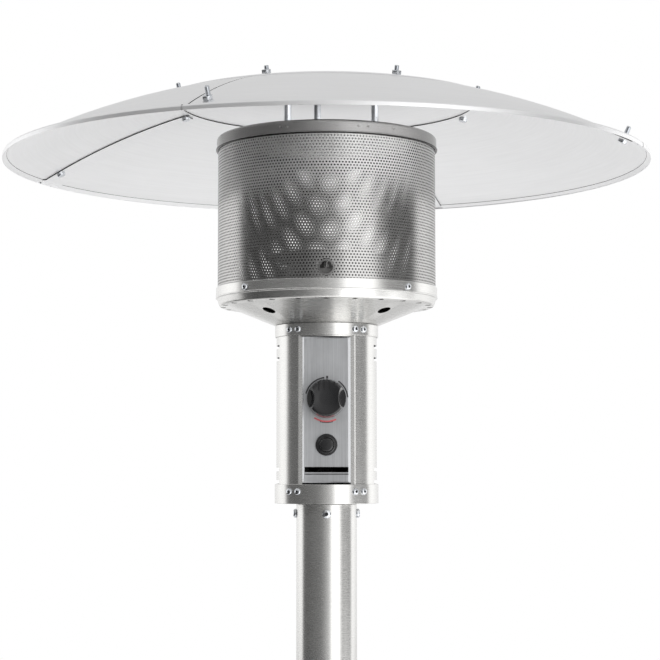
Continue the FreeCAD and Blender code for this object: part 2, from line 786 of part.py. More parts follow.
def make_gas_train():
    """Injector line from the valve, and the pilot's tube, thermocouple and spark lead to the lighting hole."""
    tube = new_body("gas_tube")
    turned(tube, "tube", [
        (0, "valve_top"),
        ("gas_tube_diameter / 2", "valve_top"),
        ("gas_tube_diameter / 2", "injector_foot"),
        (0, "injector_foot"),
    ])
    injector = new_body("injector")
    turned(injector, "injector", [
        (0, "injector_foot"),
        ("injector_r", "injector_foot"),
        ("injector_r", "injector_foot + injector_length - 4"),
        ("injector_r - 3", "injector_foot + injector_length"),
        (0, "injector_foot + injector_length"),
    ])
    top = "tray_z + pilot_height"
    half = "lead_diameter / 2"
    for label, x in (("pilot_tube", "-lead_pitch"), ("thermocouple", "0")):
        lead(label, half, [
            (x, "-mixer_r - lead_diameter - 2", "valve_top"),
            (x, "-mixer_r - lead_diameter - 2", "run_z"),
            (x, "-pilot_r", "run_z"),
            (x, "-pilot_r", top),
        ])
    side = "valve_width / 2 + lead_diameter"
    lead("spark_electrode", half, [
        ("igniter_body_diameter / 2", "-plate_back / 2", "igniter_z"),
        (side, "-plate_back / 2", "igniter_z"),
        (side, "-plate_back / 2", "run_z"),
        (side, "-pilot_r + 8", "run_z"),
        ("lead_pitch", "-pilot_r", "run_z"),
        ("lead_pitch", "-pilot_r", f"{top} - 4"),
    ])
    across, wide = "-lead_pitch * 1.6", "lead_pitch * 3.2"
    shelf = block(across, "-pilot_r - pilot_reach", "tray_z + pilot_shelf", wide, "2 * pilot_reach", "pilot_wall")
    leg = block(across, "-pilot_r + pilot_reach - pilot_wall", "tray_z", wide, "pilot_wall", "pilot_shelf + pilot_wall")
    shield = block(across, "-pilot_r - pilot_reach", "tray_z + pilot_shelf", wide, "pilot_wall",
                   "pilot_shield - pilot_shelf")
    holes = [rod(f"{half} + fit_gap", "4 * pilot_wall", x, "-pilot_r", "tray_z + pilot_shelf - pilot_wall")
             for x in ("-lead_pitch", 0, "lead_pitch")]
    node(minus(fused([shelf, leg, shield]), holes), "pilot_bracket")
    switch = block("cover_in * 0.45", "-cover_in * 0.2", "house_z + floor_thickness", 10, "cover_in * 0.4", 22)
    node(switch, "tilt_switch")


def make_bowl():
    """Spun burner bowl with its air holes, the tray in it and the drum burner under its wide disc."""
    bowl = new_body("burner_bowl")
    wall = "bowl_wall"
    turned(bowl, "bowl", [
        (f"neck_out - {wall}", "neck_foot"),
        ("neck_out", "neck_foot"),
        ("neck_out", "house_top"),
        ("cone_r", "cone_z"),
        ("bowl_low_r - bowl_taper", "cone_z"),
        ("bowl_low_r", "bowl_mid_z"),
        ("bowl_r", "bowl_mid_z"),
        ("bowl_r", "bowl_top"),
        (f"bowl_r - {wall}", "bowl_top"),
        (f"bowl_r - {wall}", f"bowl_mid_z + {wall}"),
        (f"bowl_low_r - {wall}", f"bowl_mid_z + {wall}"),
        (f"bowl_low_r - bowl_taper - {wall}", f"cone_z + {wall}"),
        ("cone_r", f"cone_z + {wall}"),
        (f"neck_out - {wall}", f"house_top + {wall}"),
    ])
    slope = "atan(bowl_cone_height / (cone_r - neck_out))"
    vent_r = "(neck_out + (cone_r - neck_out) * bowl_vent_share)"
    vent_z = f"house_top + ({vent_r} - neck_out) * bowl_cone_height / (cone_r - neck_out)"
    half = "bowl_vent_diameter / 2"
    vent = turned_at(bowl, "vent", ring(0, half, -6, 6), vent_r, vent_z, f"-{slope}", "Groove")
    around(bowl, [vent], "quarter_count")
    air_r = "(cone_r + bowl_low_r - bowl_taper) / 2"
    air = turned_at(bowl, "air_hole", ring(0, "bowl_slot_diameter / 2", -3, 3), air_r, "cone_z", 0, "Groove")
    around(bowl, [air], "bowl_slot_count")
    place(bowl, turn=45)
    radial_screws("bowl_screws", [("bowl_r", "bowl_mid_z + bowl_upper_band_height / 2", 0, 1.8)],
                  "quarter_count", 45)
    tray = new_body("burner_tray")
    turned(tray, "tray", [
        ("mixer_r + fit_gap", "tray_z - tray_wall"),
        ("tray_r - tray_wall", "tray_z - tray_wall"),
        ("tray_r - tray_wall", f"cone_z + {wall}"),
        ("tray_r", f"cone_z + {wall}"),
        ("tray_r", "tray_z"),
        ("mixer_r + fit_gap", "tray_z"),
    ])
    reach = "tray_wall * 4"
    for index, x in enumerate(("-lead_pitch", "0", "lead_pitch")):
        sketch = outline(tray, f"lead_hole_outline_{index}", "XY_Plane", [
            (f"{x} - lead_diameter / 2 - fit_gap", "-pilot_r - lead_diameter / 2 - fit_gap"),
            (f"{x} + lead_diameter / 2 + fit_gap", "-pilot_r - lead_diameter / 2 - fit_gap"),
            (f"{x} + lead_diameter / 2 + fit_gap", "-pilot_r + lead_diameter / 2 + fit_gap"),
            (f"{x} - lead_diameter / 2 - fit_gap", "-pilot_r + lead_diameter / 2 + fit_gap"),
        ])
        sketch.AttachmentOffset = Placement(Vector(0, 0, value("tray_z + tray_wall")), Rotation())
        bind(sketch, AttachmentOffset__Base__z="tray_z + tray_wall")
        hole = tray.newObject("PartDesign::Pocket", f"lead_hole_{index}")
        hole.Profile = sketch
        hole.Length = value(reach)
        bind(hole, Length=reach)
        tray.Tip = hole
    burner = new_body("main_burner")
    skin = "tray_wall"
    roof = "tray_z + burner_height"
    turned(burner, "burner", [
        ("injector_r + fit_gap", "mixer_foot"),
        ("mixer_r", "mixer_foot"),
        ("mixer_r", "tray_z"),
        ("burner_neck_r", "tray_z"),
        ("burner_neck_r", f"{roof} - burner_disc"),
        ("burner_r", f"{roof} - burner_disc"),
        ("burner_r", roof),
        (0, roof),
        (0, f"{roof} - {skin}"),
        (f"burner_neck_r - {skin}", f"{roof} - {skin}"),
        (f"burner_neck_r - {skin}", f"tray_z + {skin}"),
        (f"mixer_r - {skin}", f"tray_z + {skin}"),
        (f"mixer_r - {skin}", f"mixer_foot + {skin}"),
        ("injector_r + fit_gap", f"mixer_foot + {skin}"),
    ])
    port = turned_at(burner, "port", ring(0, "burner_port_diameter / 2", -3, 3), "burner_neck_r",
                     f"{roof} - burner_disc - burner_port_diameter", 90, "Groove")
    around(burner, [port], "burner_port_count")


def screen_holes():
    """Cutters of the screen's staggered perforation and of the larger lighting hole at the front."""
    radius = value("screen_r")
    columns, rows = int(value("screen_columns")), int(value("screen_rows"))
    margin, height = value("screen_margin"), value("screen_height")
    pitch_z = (height - 2 * margin) / rows
    pitch_a = 2 * math.pi / columns
    share = math.sqrt(value("screen_open_share"))
    wide, high = radius * pitch_a * share, pitch_z * share
    light_z = value("screen_foot + light_hole_rise")
    light_r = value("light_hole_diameter / 2")
    cutters = [Part.makeCylinder(light_r, 8, Vector(0, -radius + 4, light_z), Vector(0, -1, 0))]
    for row in range(rows):
        middle = value("screen_foot") + margin + (row + 0.5) * pitch_z
        for column in range(columns):
            angle = (column + 0.5 * (row % 2)) * pitch_a
            across = math.hypot(radius * math.remainder(angle, 2 * math.pi), middle - light_z)
            if across < light_r + math.hypot(wide, high) / 2 + 1:
                continue
            cutter = Part.makeBox(wide, 8, high, Vector(-wide / 2, -radius - 4, middle - high / 2))
            cutter.rotate(Vector(0, 0, 0), Vector(0, 0, 1), math.degrees(angle))
            cutters.append(cutter)
    holes = doc.addObject("Part::Feature", "ScreenHoles")
    holes.Shape = Part.makeCompound(cutters)
    return holes


def make_emitter():
    """Perforated emitter drum with its spun cap and the shallow deflector under the cap."""
    wall = minus(rod("screen_r", "screen_height", z="screen_foot"),
                 [rod("screen_r - screen_wall", "screen_height", z="screen_foot")])
    node(minus(wall, [screen_holes()]), "emitter_screen")
    cap = new_body("emitter_cap")
    edge = "cap_edge_radius"
    turned(cap, "cap", [
        ("cap_in", "cap_foot"),
        ("cap_r", "cap_foot"),
        ("cap_r", f"cap_top - {edge}", edge, 1),
        (f"cap_r - {edge}", "cap_top"),
        (0, "cap_top"),
        (0, "cap_top - cap_wall"),
        (f"cap_r - {edge}", "cap_top - cap_wall", f"{edge} - cap_wall", -1),
        ("cap_in", f"cap_top - {edge}"),
    ])
    deflector = new_body("heat_deflector")
    under = "cap_top - cap_wall"
    wide, tip = "deflector_top_diameter / 2", "deflector_tip_diameter / 2"
    turned(deflector, "deflector", [
        (0, f"{under} - deflector_height"),
        (tip, f"{under} - deflector_height"),
        (wide, f"{under} - deflector_height / 3"),
        (wide, under),
        (f"{wide} - cap_wall", under),
        (f"{wide} - cap_wall", f"{under} - deflector_height / 3"),
        (f"{tip} - cap_wall", f"{under} - deflector_height + cap_wall"),
        (0, f"{under} - deflector_height + cap_wall"),
    ])


def dome_height_at(radius, drop=0):
    """Height of the dish's upper face at a radius, lowered by a drop square to the sheet."""
    return f"dome_z + sqrt((dome_r - ({drop})) ^ 2 - ({radius}) ^ 2)"


def dish_section(inner, drop):
    """Corners of the dish sheet from an inner radius out to the rim, which is bent down round a small radius."""
    under = f"{drop} + reflector_wall"
    outside, inside = f"rim_r - ({drop})", f"rim_r - ({under})"
    top, bottom = dome_height_at("dish_r", drop), dome_height_at("dish_r", under)
    bend = "rim_bend - reflector_wall"
    return [
        (inner, dome_height_at(inner, under), f"dome_r - ({under})", -1),
        ("dish_r", bottom),
        (f"{inside} - ({bend})", bottom, bend, -1),
        (inside, f"{bottom} - ({bend})"),
        (inside, "dish_z - rim_lip"),
        (outside, "dish_z - rim_lip"),
        (outside, f"{top} - rim_bend", "rim_bend", 1),
        (f"{outside} - rim_bend", top),
        ("dish_r", top, f"dome_r - ({drop})", 1),
        (inner, dome_height_at(inner, drop)),
    ]


def make_panel(label, quarter):
    """Quarter of the dish with a lap strip, joined along its own edge, that runs under its neighbour."""
    inner = "panel_in"
    start = f"{90 * quarter} - 90 - seam_angle"
    lap_start = "90 - 2 * seam_gap_angle - lap_angle * 0.35"
    strips = (
        ("dish", inner, 0, "90 - 2 * seam_gap_angle", "seam_gap_angle"),
        ("bond", f"{inner} + 4", "reflector_wall / 2", "lap_angle * 0.35", lap_start),
        ("lap", f"{inner} + 4", "reflector_wall + lap_gap", "lap_angle", lap_start),
    )
    parts = []
    for name, edge, drop, sweep, turn in strips:
        strip = doc.addObject("PartDesign::Body", f"{label}_{name}")
        turned(strip, f"{label}_{name}_sheet", dish_section(edge, drop), sweep)
        place(strip, turn=f"{start} + {turn}")
        parts.append(strip)
    node(fused(parts), label)


def make_reflector():
    """Four bolted dish panels under a centre disc, carried on three rods above the emitter cap."""
    for quarter, name in enumerate(("front", "right", "rear", "left")):
        make_panel(f"reflector_panel_{name}", quarter)
    disc = new_body("reflector_centre_disc")
    turned(disc, "disc", [
        (0, dome_height_at(0, "-lap_gap"), "dome_r + lap_gap", -1),
        ("disc_r", dome_height_at("disc_r", "-lap_gap")),
        ("disc_r", dome_height_at("disc_r", "-lap_gap - reflector_wall"), "dome_r + lap_gap + reflector_wall", 1),
        (0, dome_height_at(0, "-lap_gap - reflector_wall")),
    ])
    shank, corner = "bolt_diameter / 2", "nut_flats / 2 * 1.07"
    thin, thick = "reflector_wall + lap_gap", "2 * reflector_wall + 2 * lap_gap"
    over_disc = "reflector_wall + 2 * lap_gap"
    rings = (
        ("seam", "inner_bolt_r", over_disc, thick, "inner_bolt_length", "inner_bolt_angle"),
        ("middle", "inner_bolt_r", over_disc, thin, "inner_bolt_length", "45 + inner_bolt_angle"),
        ("outer", "outer_bolt_r", "lap_gap", thick, "bolt_length", "outer_bolt_angle"),
    )
    groups = {"bolt": [], "nut": [], "hole": []}
    for name, radius, over, under, reach, turn in rings:
        spot = (radius, dome_height_at(radius), f"asin({radius} / dome_r)")
        sections = {
            "bolt": [
                (0, f"-({under}) - bolt_head_height"),
                ("bolt_head_diameter / 2 - 1", f"-({under}) - bolt_head_height"),
                ("bolt_head_diameter / 2", f"-({under}) - bolt_head_height / 3"),
                ("bolt_head_diameter / 2", f"-({under})"),
                (shank, f"-({under})"),
                (shank, f"{reach} - ({under})"),
                (0, f"{reach} - ({under})"),
            ],
            "nut": ring(f"{shank} + drill_gap", corner, over, f"{over} + nut_height"),
            "hole": ring(0, f"{shank} + drill_gap", -5, 5),
        }
        for kind, corners in sections.items():
            owner = doc.addObject("PartDesign::Body", f"{kind}_{name}")
            around(owner, [turned_at(owner, f"{kind}_{name}_section", corners, *spot)], "quarter_count")
            place(owner, turn=f"{turn} - seam_angle")
            groups[kind].append(owner)
    node(fused(groups["bolt"]), "reflector_bolts")
    node(fused(groups["nut"]), "reflector_nuts")
    DRILLS["reflector_bolts"] = fused(groups["hole"])
    make_standoffs()


def make_standoffs():
    """Three rods from the emitter cap through the centre disc, each with a nut on top."""
    thread = "standoff_top + lap_gap"
    groups = (
        (new_body("standoff_rods"), ring(0, "standoff_r", "cap_top", f"{thread} + 6")),
        (new_body("standoff_nuts"), ring("standoff_r + drill_gap", "standoff_r * 1.8", f"{thread} + 0.4",
                                         f"{thread} + 5.4")),
        (doc.addObject("PartDesign::Body", "standoff_rods_drill"), ring(0, "standoff_r + drill_gap",
                                                                        f"{thread} - 5", f"{thread} + 9")),
    )
    for owner, corners in groups:
        around(owner, [turned_at(owner, f"{owner.Name}_section", corners, "standoff_ring", 0)], "standoff_count")
        place(owner, turn="standoff_start_angle - 180")
    DRILLS["standoff_rods"] = groups[2][0]


# Sheets that fasteners pass through, with the fastener groups.
DRILLED = {
    "tank_locator_ring": ["tank_housing_screws"],
    "tank_housing": ["tank_housing_screws"],
    "tank_housing_cap": ["tank_housing_screws", "post_screws_lower"],
    "post_flange": ["post_screws_lower"],
    "post": ["post_screws_lower", "post_screws_upper"],
    "housing_floor": ["post_screws_upper"],
    "lower_band": ["housing_screws"],
    "upper_band": ["housing_screws"],
    "side_cover_right": ["housing_screws"],
    "side_cover_left": ["housing_screws"],
    "burner_bowl": ["housing_screws", "bowl_screws"],
    "emitter_screen": ["bowl_screws"],
    "reflector_panel_front": ["reflector_bolts"],
    "reflector_panel_right": ["reflector_bolts"],
    "reflector_panel_rear": ["reflector_bolts"],
    "reflector_panel_left": ["reflector_bolts"],
    "reflector_centre_disc": ["reflector_bolts", "standoff_rods"],
}


def drill_sheets():
    """Cut the fasteners' holes through the sheets that they hold."""
    for label, groups in DRILLED.items():
        blank = NODES[label]
        blank.Label = f"{label}_blank"
        drilled = blank
        for group in groups:
            drilled = minus(drilled, [DRILLS[group]])
        node(drilled, label)


make_base()
make_tank()
make_post()
make_housing()
make_controls()
make_gas_train()
make_bowl()
make_emitter()
make_reflector()
drill_sheets()
doc.recompute()

for thing in doc.Objects:
    if "Invalid" in thing.State or "Error" in thing.State:
        raise RuntimeError(f"{thing.Label} did not compute: {thing.State}")
os.makedirs("parts", exist_ok=True)
for thing in NODES.values():
    shape = thing.Shape
    if shape.isNull() or not shape.isValid():
        raise RuntimeError(f"{thing.Label} has no valid shape")
    shape.exportStep(f"parts/{thing.Label}.step")
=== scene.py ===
"""Looks of a free-standing tabletop gas heater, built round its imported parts."""
import json
import math

import bmesh
import bpy
import numpy as np
from bpy.props import FloatProperty, FloatVectorProperty, IntProperty, PointerProperty
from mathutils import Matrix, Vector


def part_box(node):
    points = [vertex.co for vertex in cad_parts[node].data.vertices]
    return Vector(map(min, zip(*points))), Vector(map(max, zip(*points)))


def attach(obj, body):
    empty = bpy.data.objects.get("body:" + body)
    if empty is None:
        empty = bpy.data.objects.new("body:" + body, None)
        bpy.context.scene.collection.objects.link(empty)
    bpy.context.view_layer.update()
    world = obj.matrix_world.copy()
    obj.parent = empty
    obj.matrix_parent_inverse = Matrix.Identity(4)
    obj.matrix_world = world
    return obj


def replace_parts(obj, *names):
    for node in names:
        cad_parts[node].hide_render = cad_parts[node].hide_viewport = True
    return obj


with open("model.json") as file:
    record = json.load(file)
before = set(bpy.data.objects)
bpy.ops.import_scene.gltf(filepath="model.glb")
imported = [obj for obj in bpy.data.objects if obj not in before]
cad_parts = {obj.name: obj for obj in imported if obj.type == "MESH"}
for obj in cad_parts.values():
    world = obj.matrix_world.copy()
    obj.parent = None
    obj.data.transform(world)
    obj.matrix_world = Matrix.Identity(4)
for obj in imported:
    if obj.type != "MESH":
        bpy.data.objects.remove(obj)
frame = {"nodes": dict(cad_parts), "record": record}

bl_info = {
    "name": "Tabletop heater",
    "version": (1, 0, 0),
    "blender": (4, 5, 0),
    "location": "View3D > Sidebar > Heater",
    "description": "Dresses a tabletop gas heater and its studio stage",
    "category": "Object",
}

MM = 0.001

# Distances within which corners count as one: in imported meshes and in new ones
PACKED_JOIN, NEW_JOIN = 2e-6, 1e-7

# Angles in degrees up to which faces shade smoothly: on sheet and on turned pieces
SHEET_SMOOTH, TURNED_SMOOTH = 30.0, 35.0

# Angle in degrees from which the edges of moulded pieces are bevelled
BEVEL_ANGLE = 40.0

# A rounded corner takes at most this share of a side
CORNER_SHARE = 0.45

# Share of the fine grain in a finish's pattern, and the part of the noise's range that is used
GRAIN_SHARE, NOISE_LOW, NOISE_HIGH = 0.6, 0.35, 0.65

# Tone of painted shade, the darkening that stands in for shadow on chosen faces, as a share of a sheet's own
# tone, and the depth of all relief
PAINTED_SHADE_TONE, RELIEF = 0.08, 0.4 * MM

# Turn, in whole turns, that stretches reflections across the brushing
QUARTER_TURN = 0.25

# Radius and height of the small domed screw heads
SMALL_HEAD = (2.8 * MM, 1.8 * MM)

# Radius, height and drive radius of the post screws' heads
POST_HEAD = (3.8 * MM, 2.6 * MM, 1.3 * MM)

# Radius that parts the reflector's centre from its rim
CENTRE_ZONE = 0.2


def length(name, description, default):
    """Declare a length in metres."""
    return FloatProperty(name=name, description=description, default=default, unit="LENGTH")


def colour(name, description, default):
    """Declare a linear colour."""
    return FloatVectorProperty(name=name, description=description, default=default, subtype="COLOR", size=3,
                               min=0.0, max=1.0)


class HeaterSizes(bpy.types.PropertyGroup):
    """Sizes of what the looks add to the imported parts."""
    perforation_columns: IntProperty(
        name="Perforations round", description="Holes in one row round the emitter", default=220, min=12)
    perforation_rows: IntProperty(
        name="Perforation rows", description="Rows of holes up the emitter", default=52, min=2)
    perforation_width: length("Perforation", "Diameter of one hole of the emitter", 1.5 * MM)
    perforation_margin: length("Plain edge", "Plain sheet above and below the perforation", 2.0 * MM)
    lighting_rim: length("Lighting hole rim", "Width of the rim round the lighting hole", 1.4 * MM)
    edge_round: length("Edge round", "Rounding of cut sheet edges", 0.25 * MM)
    thread_pitch: length("Thread pitch", "Pitch of the bolts' thread", 0.7 * MM)
    dial_radius: length("Dial radius", "Radius of the dark printed arcs round the knob", 17.4 * MM)
    dial_width: length("Dial width", "Width of the dark printed arcs", 1.2 * MM)
    print_lift: length("Print lift", "Thickness of printed marks", 0.05 * MM)
    weld_dot: length("Weld dot", "Diameter of a spot weld on the emitter cap", 2.2 * MM)
    cover_fold: length("Cover fold", "Radius of the bend at the covers' front edges", 1.2 * MM)
    cover_flange: length("Cover flange", "Width of the covers' flat front flanges", 3.1 * MM)
    plate_border: length("Plate border", "Width of the control plate's tilted border", 2.0 * MM)


class HeaterColours(bpy.types.PropertyGroup):
    """Linear colours of the finishes."""
    stainless: colour("Stainless", "Brushed stainless sheet and tube", (0.74, 0.735, 0.72))
    reflector: colour("Reflector", "Satin reflector sheet", (0.94, 0.94, 0.945))
    emitter: colour("Emitter", "Perforated emitter steel", (0.50, 0.495, 0.487))
    cap: colour("Cap", "Emitter cap", (0.315, 0.311, 0.307))
    burner: colour("Burner", "Burner parts", (0.30, 0.295, 0.29))
    zinc: colour("Zinc", "Zinc-plated fasteners", (0.68, 0.70, 0.73))
    plate: colour("Plate", "Control plate", (0.57, 0.578, 0.591))
    plastic: colour("Plastic", "Black plastic of knob and igniter", (0.008, 0.008, 0.009))
    rubber: colour("Rubber", "Rubber feet and hose", (0.02, 0.02, 0.021))
    brass: colour("Brass", "Brass valve and injector", (0.72, 0.53, 0.26))
    iron: colour("Iron", "Cast ballast", (0.09, 0.09, 0.092))
    paint: colour("Cylinder paint", "Painted gas cylinder", (0.42, 0.45, 0.48))
    dial_dark: colour("Dial dark", "Dark printed arcs", (0.03, 0.03, 0.032))
    dial_red: colour("Dial red", "Red printed arc", (0.62, 0.13, 0.14))
    floor: colour("Floor", "Studio floor", (0.9, 0.9, 0.9))


class HeaterStage(bpy.types.PropertyGroup):
    """Camera, bright screen and lamps."""
    camera_x: length("Camera X", "Sideways place of the camera", 0.00284)
    camera_y: length("Camera Y", "Distance of the camera in front of the post", -1.5229)
    camera_z: length("Camera Z", "Height of the camera", 0.632)
    camera_pitch: FloatProperty(
        name="Camera pitch", description="Upward tilt of the camera", subtype="ANGLE",
        default=math.radians(4.264))
    camera_lens: FloatProperty(
        name="Lens", description="Focal length on a 36 mm sensor, in mm", default=98.65)
    screen_glow: FloatProperty(
        name="Screen", description="Brightness of the tall screen at the front right", default=1.65, min=1.1)
    key_power: FloatProperty(
        name="Key", description="Power of the key lamp", default=18.0, subtype="POWER")
    fill_power: FloatProperty(
        name="Fill", description="Power of the fill lamp", default=8.0, subtype="POWER")
    top_power: FloatProperty(
        name="Top", description="Power of the overhead lamp", default=10.0, subtype="POWER")


def sizes():
    """Return the size settings."""
    return bpy.context.scene.heater_sizes


def colours():
    """Return the colour settings."""
    return bpy.context.scene.heater_colours


# Node trees


def add(tree, kind, inputs=None, **settings):
    """Add a node, set its own settings, then its input values or links."""
    item = tree.nodes.new(kind)
    for name, value in settings.items():
        setattr(item, name, value)
    for name, value in (inputs or {}).items():
        if isinstance(value, bpy.types.NodeSocket):
            tree.links.new(value, item.inputs[name])
        else:
            item.inputs[name].default_value = value
    return item


def math_node(tree, operation, first, second=0.0):
    """Add a math node and return its output."""
    return add(tree, "ShaderNodeMath", {0: first, 1: second}, operation=operation).outputs[0]


def vector_node(tree, operation, inputs, output="Vector"):
    """Add a vector math node and return one of its outputs."""
    return add(tree, "ShaderNodeVectorMath", inputs, operation=operation).outputs[output]


def ramped(tree, value, start, stop, soft=False):
    """Map a value between two bounds onto zero to one and return the output."""
    kind = "SMOOTHSTEP" if soft else "LINEAR"
    bounds = {"Value": value, "From Min": start, "From Max": stop}
    return add(tree, "ShaderNodeMapRange", bounds, interpolation_type=kind).outputs[0]


def blend(tree, share, first, second):
    """Mix two colours and return the output."""
    return add(tree, "ShaderNodeMix", {0: share, 6: first, 7: second}, data_type="RGBA").outputs[2]


def noise(tree, place, scale, detail, roughness):
    """Add a noise texture and return its value."""
    values = {"Vector": place, "Scale": scale, "Detail": detail, "Roughness": roughness}
    return add(tree, "ShaderNodeTexNoise", values).outputs[0]


def grey(level):
    """Return a level as a colour."""
    return (level, level, level, 1.0)


def new_group(name, inputs, outputs):
    """Start a shader node group of floats; return it with its input and output nodes."""
    group = bpy.data.node_groups.new(name, "ShaderNodeTree")
    for label, default in inputs:
        socket = group.interface.new_socket(name=label, in_out="INPUT", socket_type="NodeSocketFloat")
        socket.default_value = default
    for label in outputs:
        group.interface.new_socket(name=label, in_out="OUTPUT", socket_type="NodeSocketFloat")
    return group, group.nodes.new("NodeGroupInput"), group.nodes.new("NodeGroupOutput")


def grain_group():
    """Fine brushed lines that run round the upright axis, with broad uneven patches."""
    found = bpy.data.node_groups.get("Turned Grain")
    if found:
        return found
    group, start, end = new_group("Turned Grain", [("Lines", 2600.0), ("Stretch", 3.0), ("Patches", 14.0)],
                                  ["Grain", "Patch"])
    place = add(group, "ShaderNodeTexCoord").outputs["Object"]
    axes = add(group, "ShaderNodeSeparateXYZ", {0: place})
    flat = add(group, "ShaderNodeCombineXYZ", {"X": axes.outputs["X"], "Y": axes.outputs["Y"]}).outputs[0]
    radius = vector_node(group, "LENGTH", {0: flat}, "Value")
    around = vector_node(group, "NORMALIZE", {0: flat})
    around = vector_node(group, "SCALE", {0: around, "Scale": start.outputs["Stretch"]})
    rise = math_node(group, "ADD", axes.outputs["Z"], radius)
    rise = math_node(group, "MULTIPLY", rise, start.outputs["Lines"])
    split = add(group, "ShaderNodeSeparateXYZ", {0: around})
    vector = add(group, "ShaderNodeCombineXYZ",
                 {"X": split.outputs["X"], "Y": split.outputs["Y"], "Z": rise}).outputs[0]
    group.links.new(noise(group, vector, 1.0, 3.0, 0.65), end.inputs["Grain"])
    group.links.new(noise(group, place, start.outputs["Patches"], 4.0, 0.6), end.inputs["Patch"])
    return group


def sheet_group():
    """Straight rolling lines along one axis and cloudy patches, for flat sheet."""
    found = bpy.data.node_groups.get("Sheet Grain")
    if found:
        return found
    group, start, end = new_group("Sheet Grain", [("Across", 1800.0), ("Along", 20.0), ("Patches", 60.0)],
                                  ["Grain", "Patch"])
    place = add(group, "ShaderNodeTexCoord").outputs["Object"]
    axes = add(group, "ShaderNodeSeparateXYZ", {0: place})
    vector = add(group, "ShaderNodeCombineXYZ", {
        "X": math_node(group, "MULTIPLY", axes.outputs["X"], start.outputs["Across"]),
        "Y": math_node(group, "MULTIPLY", axes.outputs["Y"], start.outputs["Across"]),
        "Z": math_node(group, "MULTIPLY", axes.outputs["Z"], start.outputs["Along"]),
    }).outputs[0]
    group.links.new(noise(group, vector, 1.0, 3.0, 0.6), end.inputs["Grain"])
    group.links.new(noise(group, place, start.outputs["Patches"], 5.0, 0.62), end.inputs["Patch"])
    return group


def speckle_group():
    """Fine grit and soft mottling, for cast, moulded and plated faces."""
    found = bpy.data.node_groups.get("Speckle")
    if found:
        return found
    group, start, end = new_group("Speckle", [("Grit", 1500.0), ("Patches", 80.0)], ["Grain", "Patch"])
    place = add(group, "ShaderNodeTexCoord").outputs["Object"]
    for label, source, detail in (("Grain", "Grit", 2.0), ("Patch", "Patches", 4.0)):
        group.links.new(noise(group, place, start.outputs[source], detail, 0.6), end.inputs[label])
    return group


GROUPS = {"turned": grain_group, "sheet": sheet_group, "speckle": speckle_group}


def turned_tangent(tree):
    """Return the direction round the upright axis, which brushing on turned pieces follows."""
    place = add(tree, "ShaderNodeTexCoord").outputs["Object"]
    axes = add(tree, "ShaderNodeSeparateXYZ", {0: place})
    back = math_node(tree, "MULTIPLY", axes.outputs["Y"], -1.0)
    return add(tree, "ShaderNodeCombineXYZ", {"X": back, "Y": axes.outputs["X"]}).outputs[0]


def finish_material(name, tone, metallic, roughness, pattern, spread=0.12, rough_spread=0.06, bump=0.02,
                    settings=None, brushed=0.0, **sockets):
    """Make a finish whose tone, roughness and relief follow one of the shared patterns.

    Faces with the attribute painted_shade get painted shade: a darker tone stands in for the shadow on
    inner faces, cut edges, hole walls and gaps. Brushed metal gets reflections stretched across its brushing.
    """
    found = bpy.data.materials.get(name)
    if found:
        return found
    material = bpy.data.materials.new(name)
    material.use_nodes = True
    tree = material.node_tree
    shader = tree.nodes["Principled BSDF"]
    group = add(tree, "ShaderNodeGroup", node_tree=GROUPS[pattern]())
    for label, value in (settings or {}).items():
        group.inputs[label].default_value = value
    grain, patch = group.outputs["Grain"], group.outputs["Patch"]
    both = math_node(tree, "ADD", math_node(tree, "MULTIPLY", grain, GRAIN_SHARE),
                     math_node(tree, "MULTIPLY", patch, 1.0 - GRAIN_SHARE))
    low = [channel * (1.0 - spread) for channel in tone] + [1.0]
    high = [min(channel * (1.0 + spread), 1.0) for channel in tone] + [1.0]
    # Painted shade: faces marked painted_shade take this darker tone, which stands in for shadow
    dark = [channel * PAINTED_SHADE_TONE for channel in tone] + [1.0]
    plain = blend(tree, ramped(tree, both, NOISE_LOW, NOISE_HIGH), low, high)
    painted_shade = add(tree, "ShaderNodeAttribute", attribute_name="painted_shade").outputs["Fac"]
    rough = add(tree, "ShaderNodeMapRange", {
        "Value": both, "From Min": NOISE_LOW, "From Max": NOISE_HIGH,
        "To Min": roughness - rough_spread, "To Max": roughness + rough_spread,
    }).outputs[0]
    relief = add(tree, "ShaderNodeBump", {"Height": grain, "Strength": bump, "Distance": RELIEF})
    tree.links.new(blend(tree, painted_shade, plain, dark), shader.inputs["Base Color"])
    tree.links.new(rough, shader.inputs["Roughness"])
    if brushed:
        shader.inputs["Anisotropic"].default_value = brushed
        shader.inputs["Anisotropic Rotation"].default_value = QUARTER_TURN
        tree.links.new(turned_tangent(tree), shader.inputs["Tangent"])
    tree.links.new(relief.outputs[0], shader.inputs["Normal"])
    shader.inputs["Metallic"].default_value = metallic
    for label, value in sockets.items():
        shader.inputs[label.replace("_", " ")].default_value = value
    return material


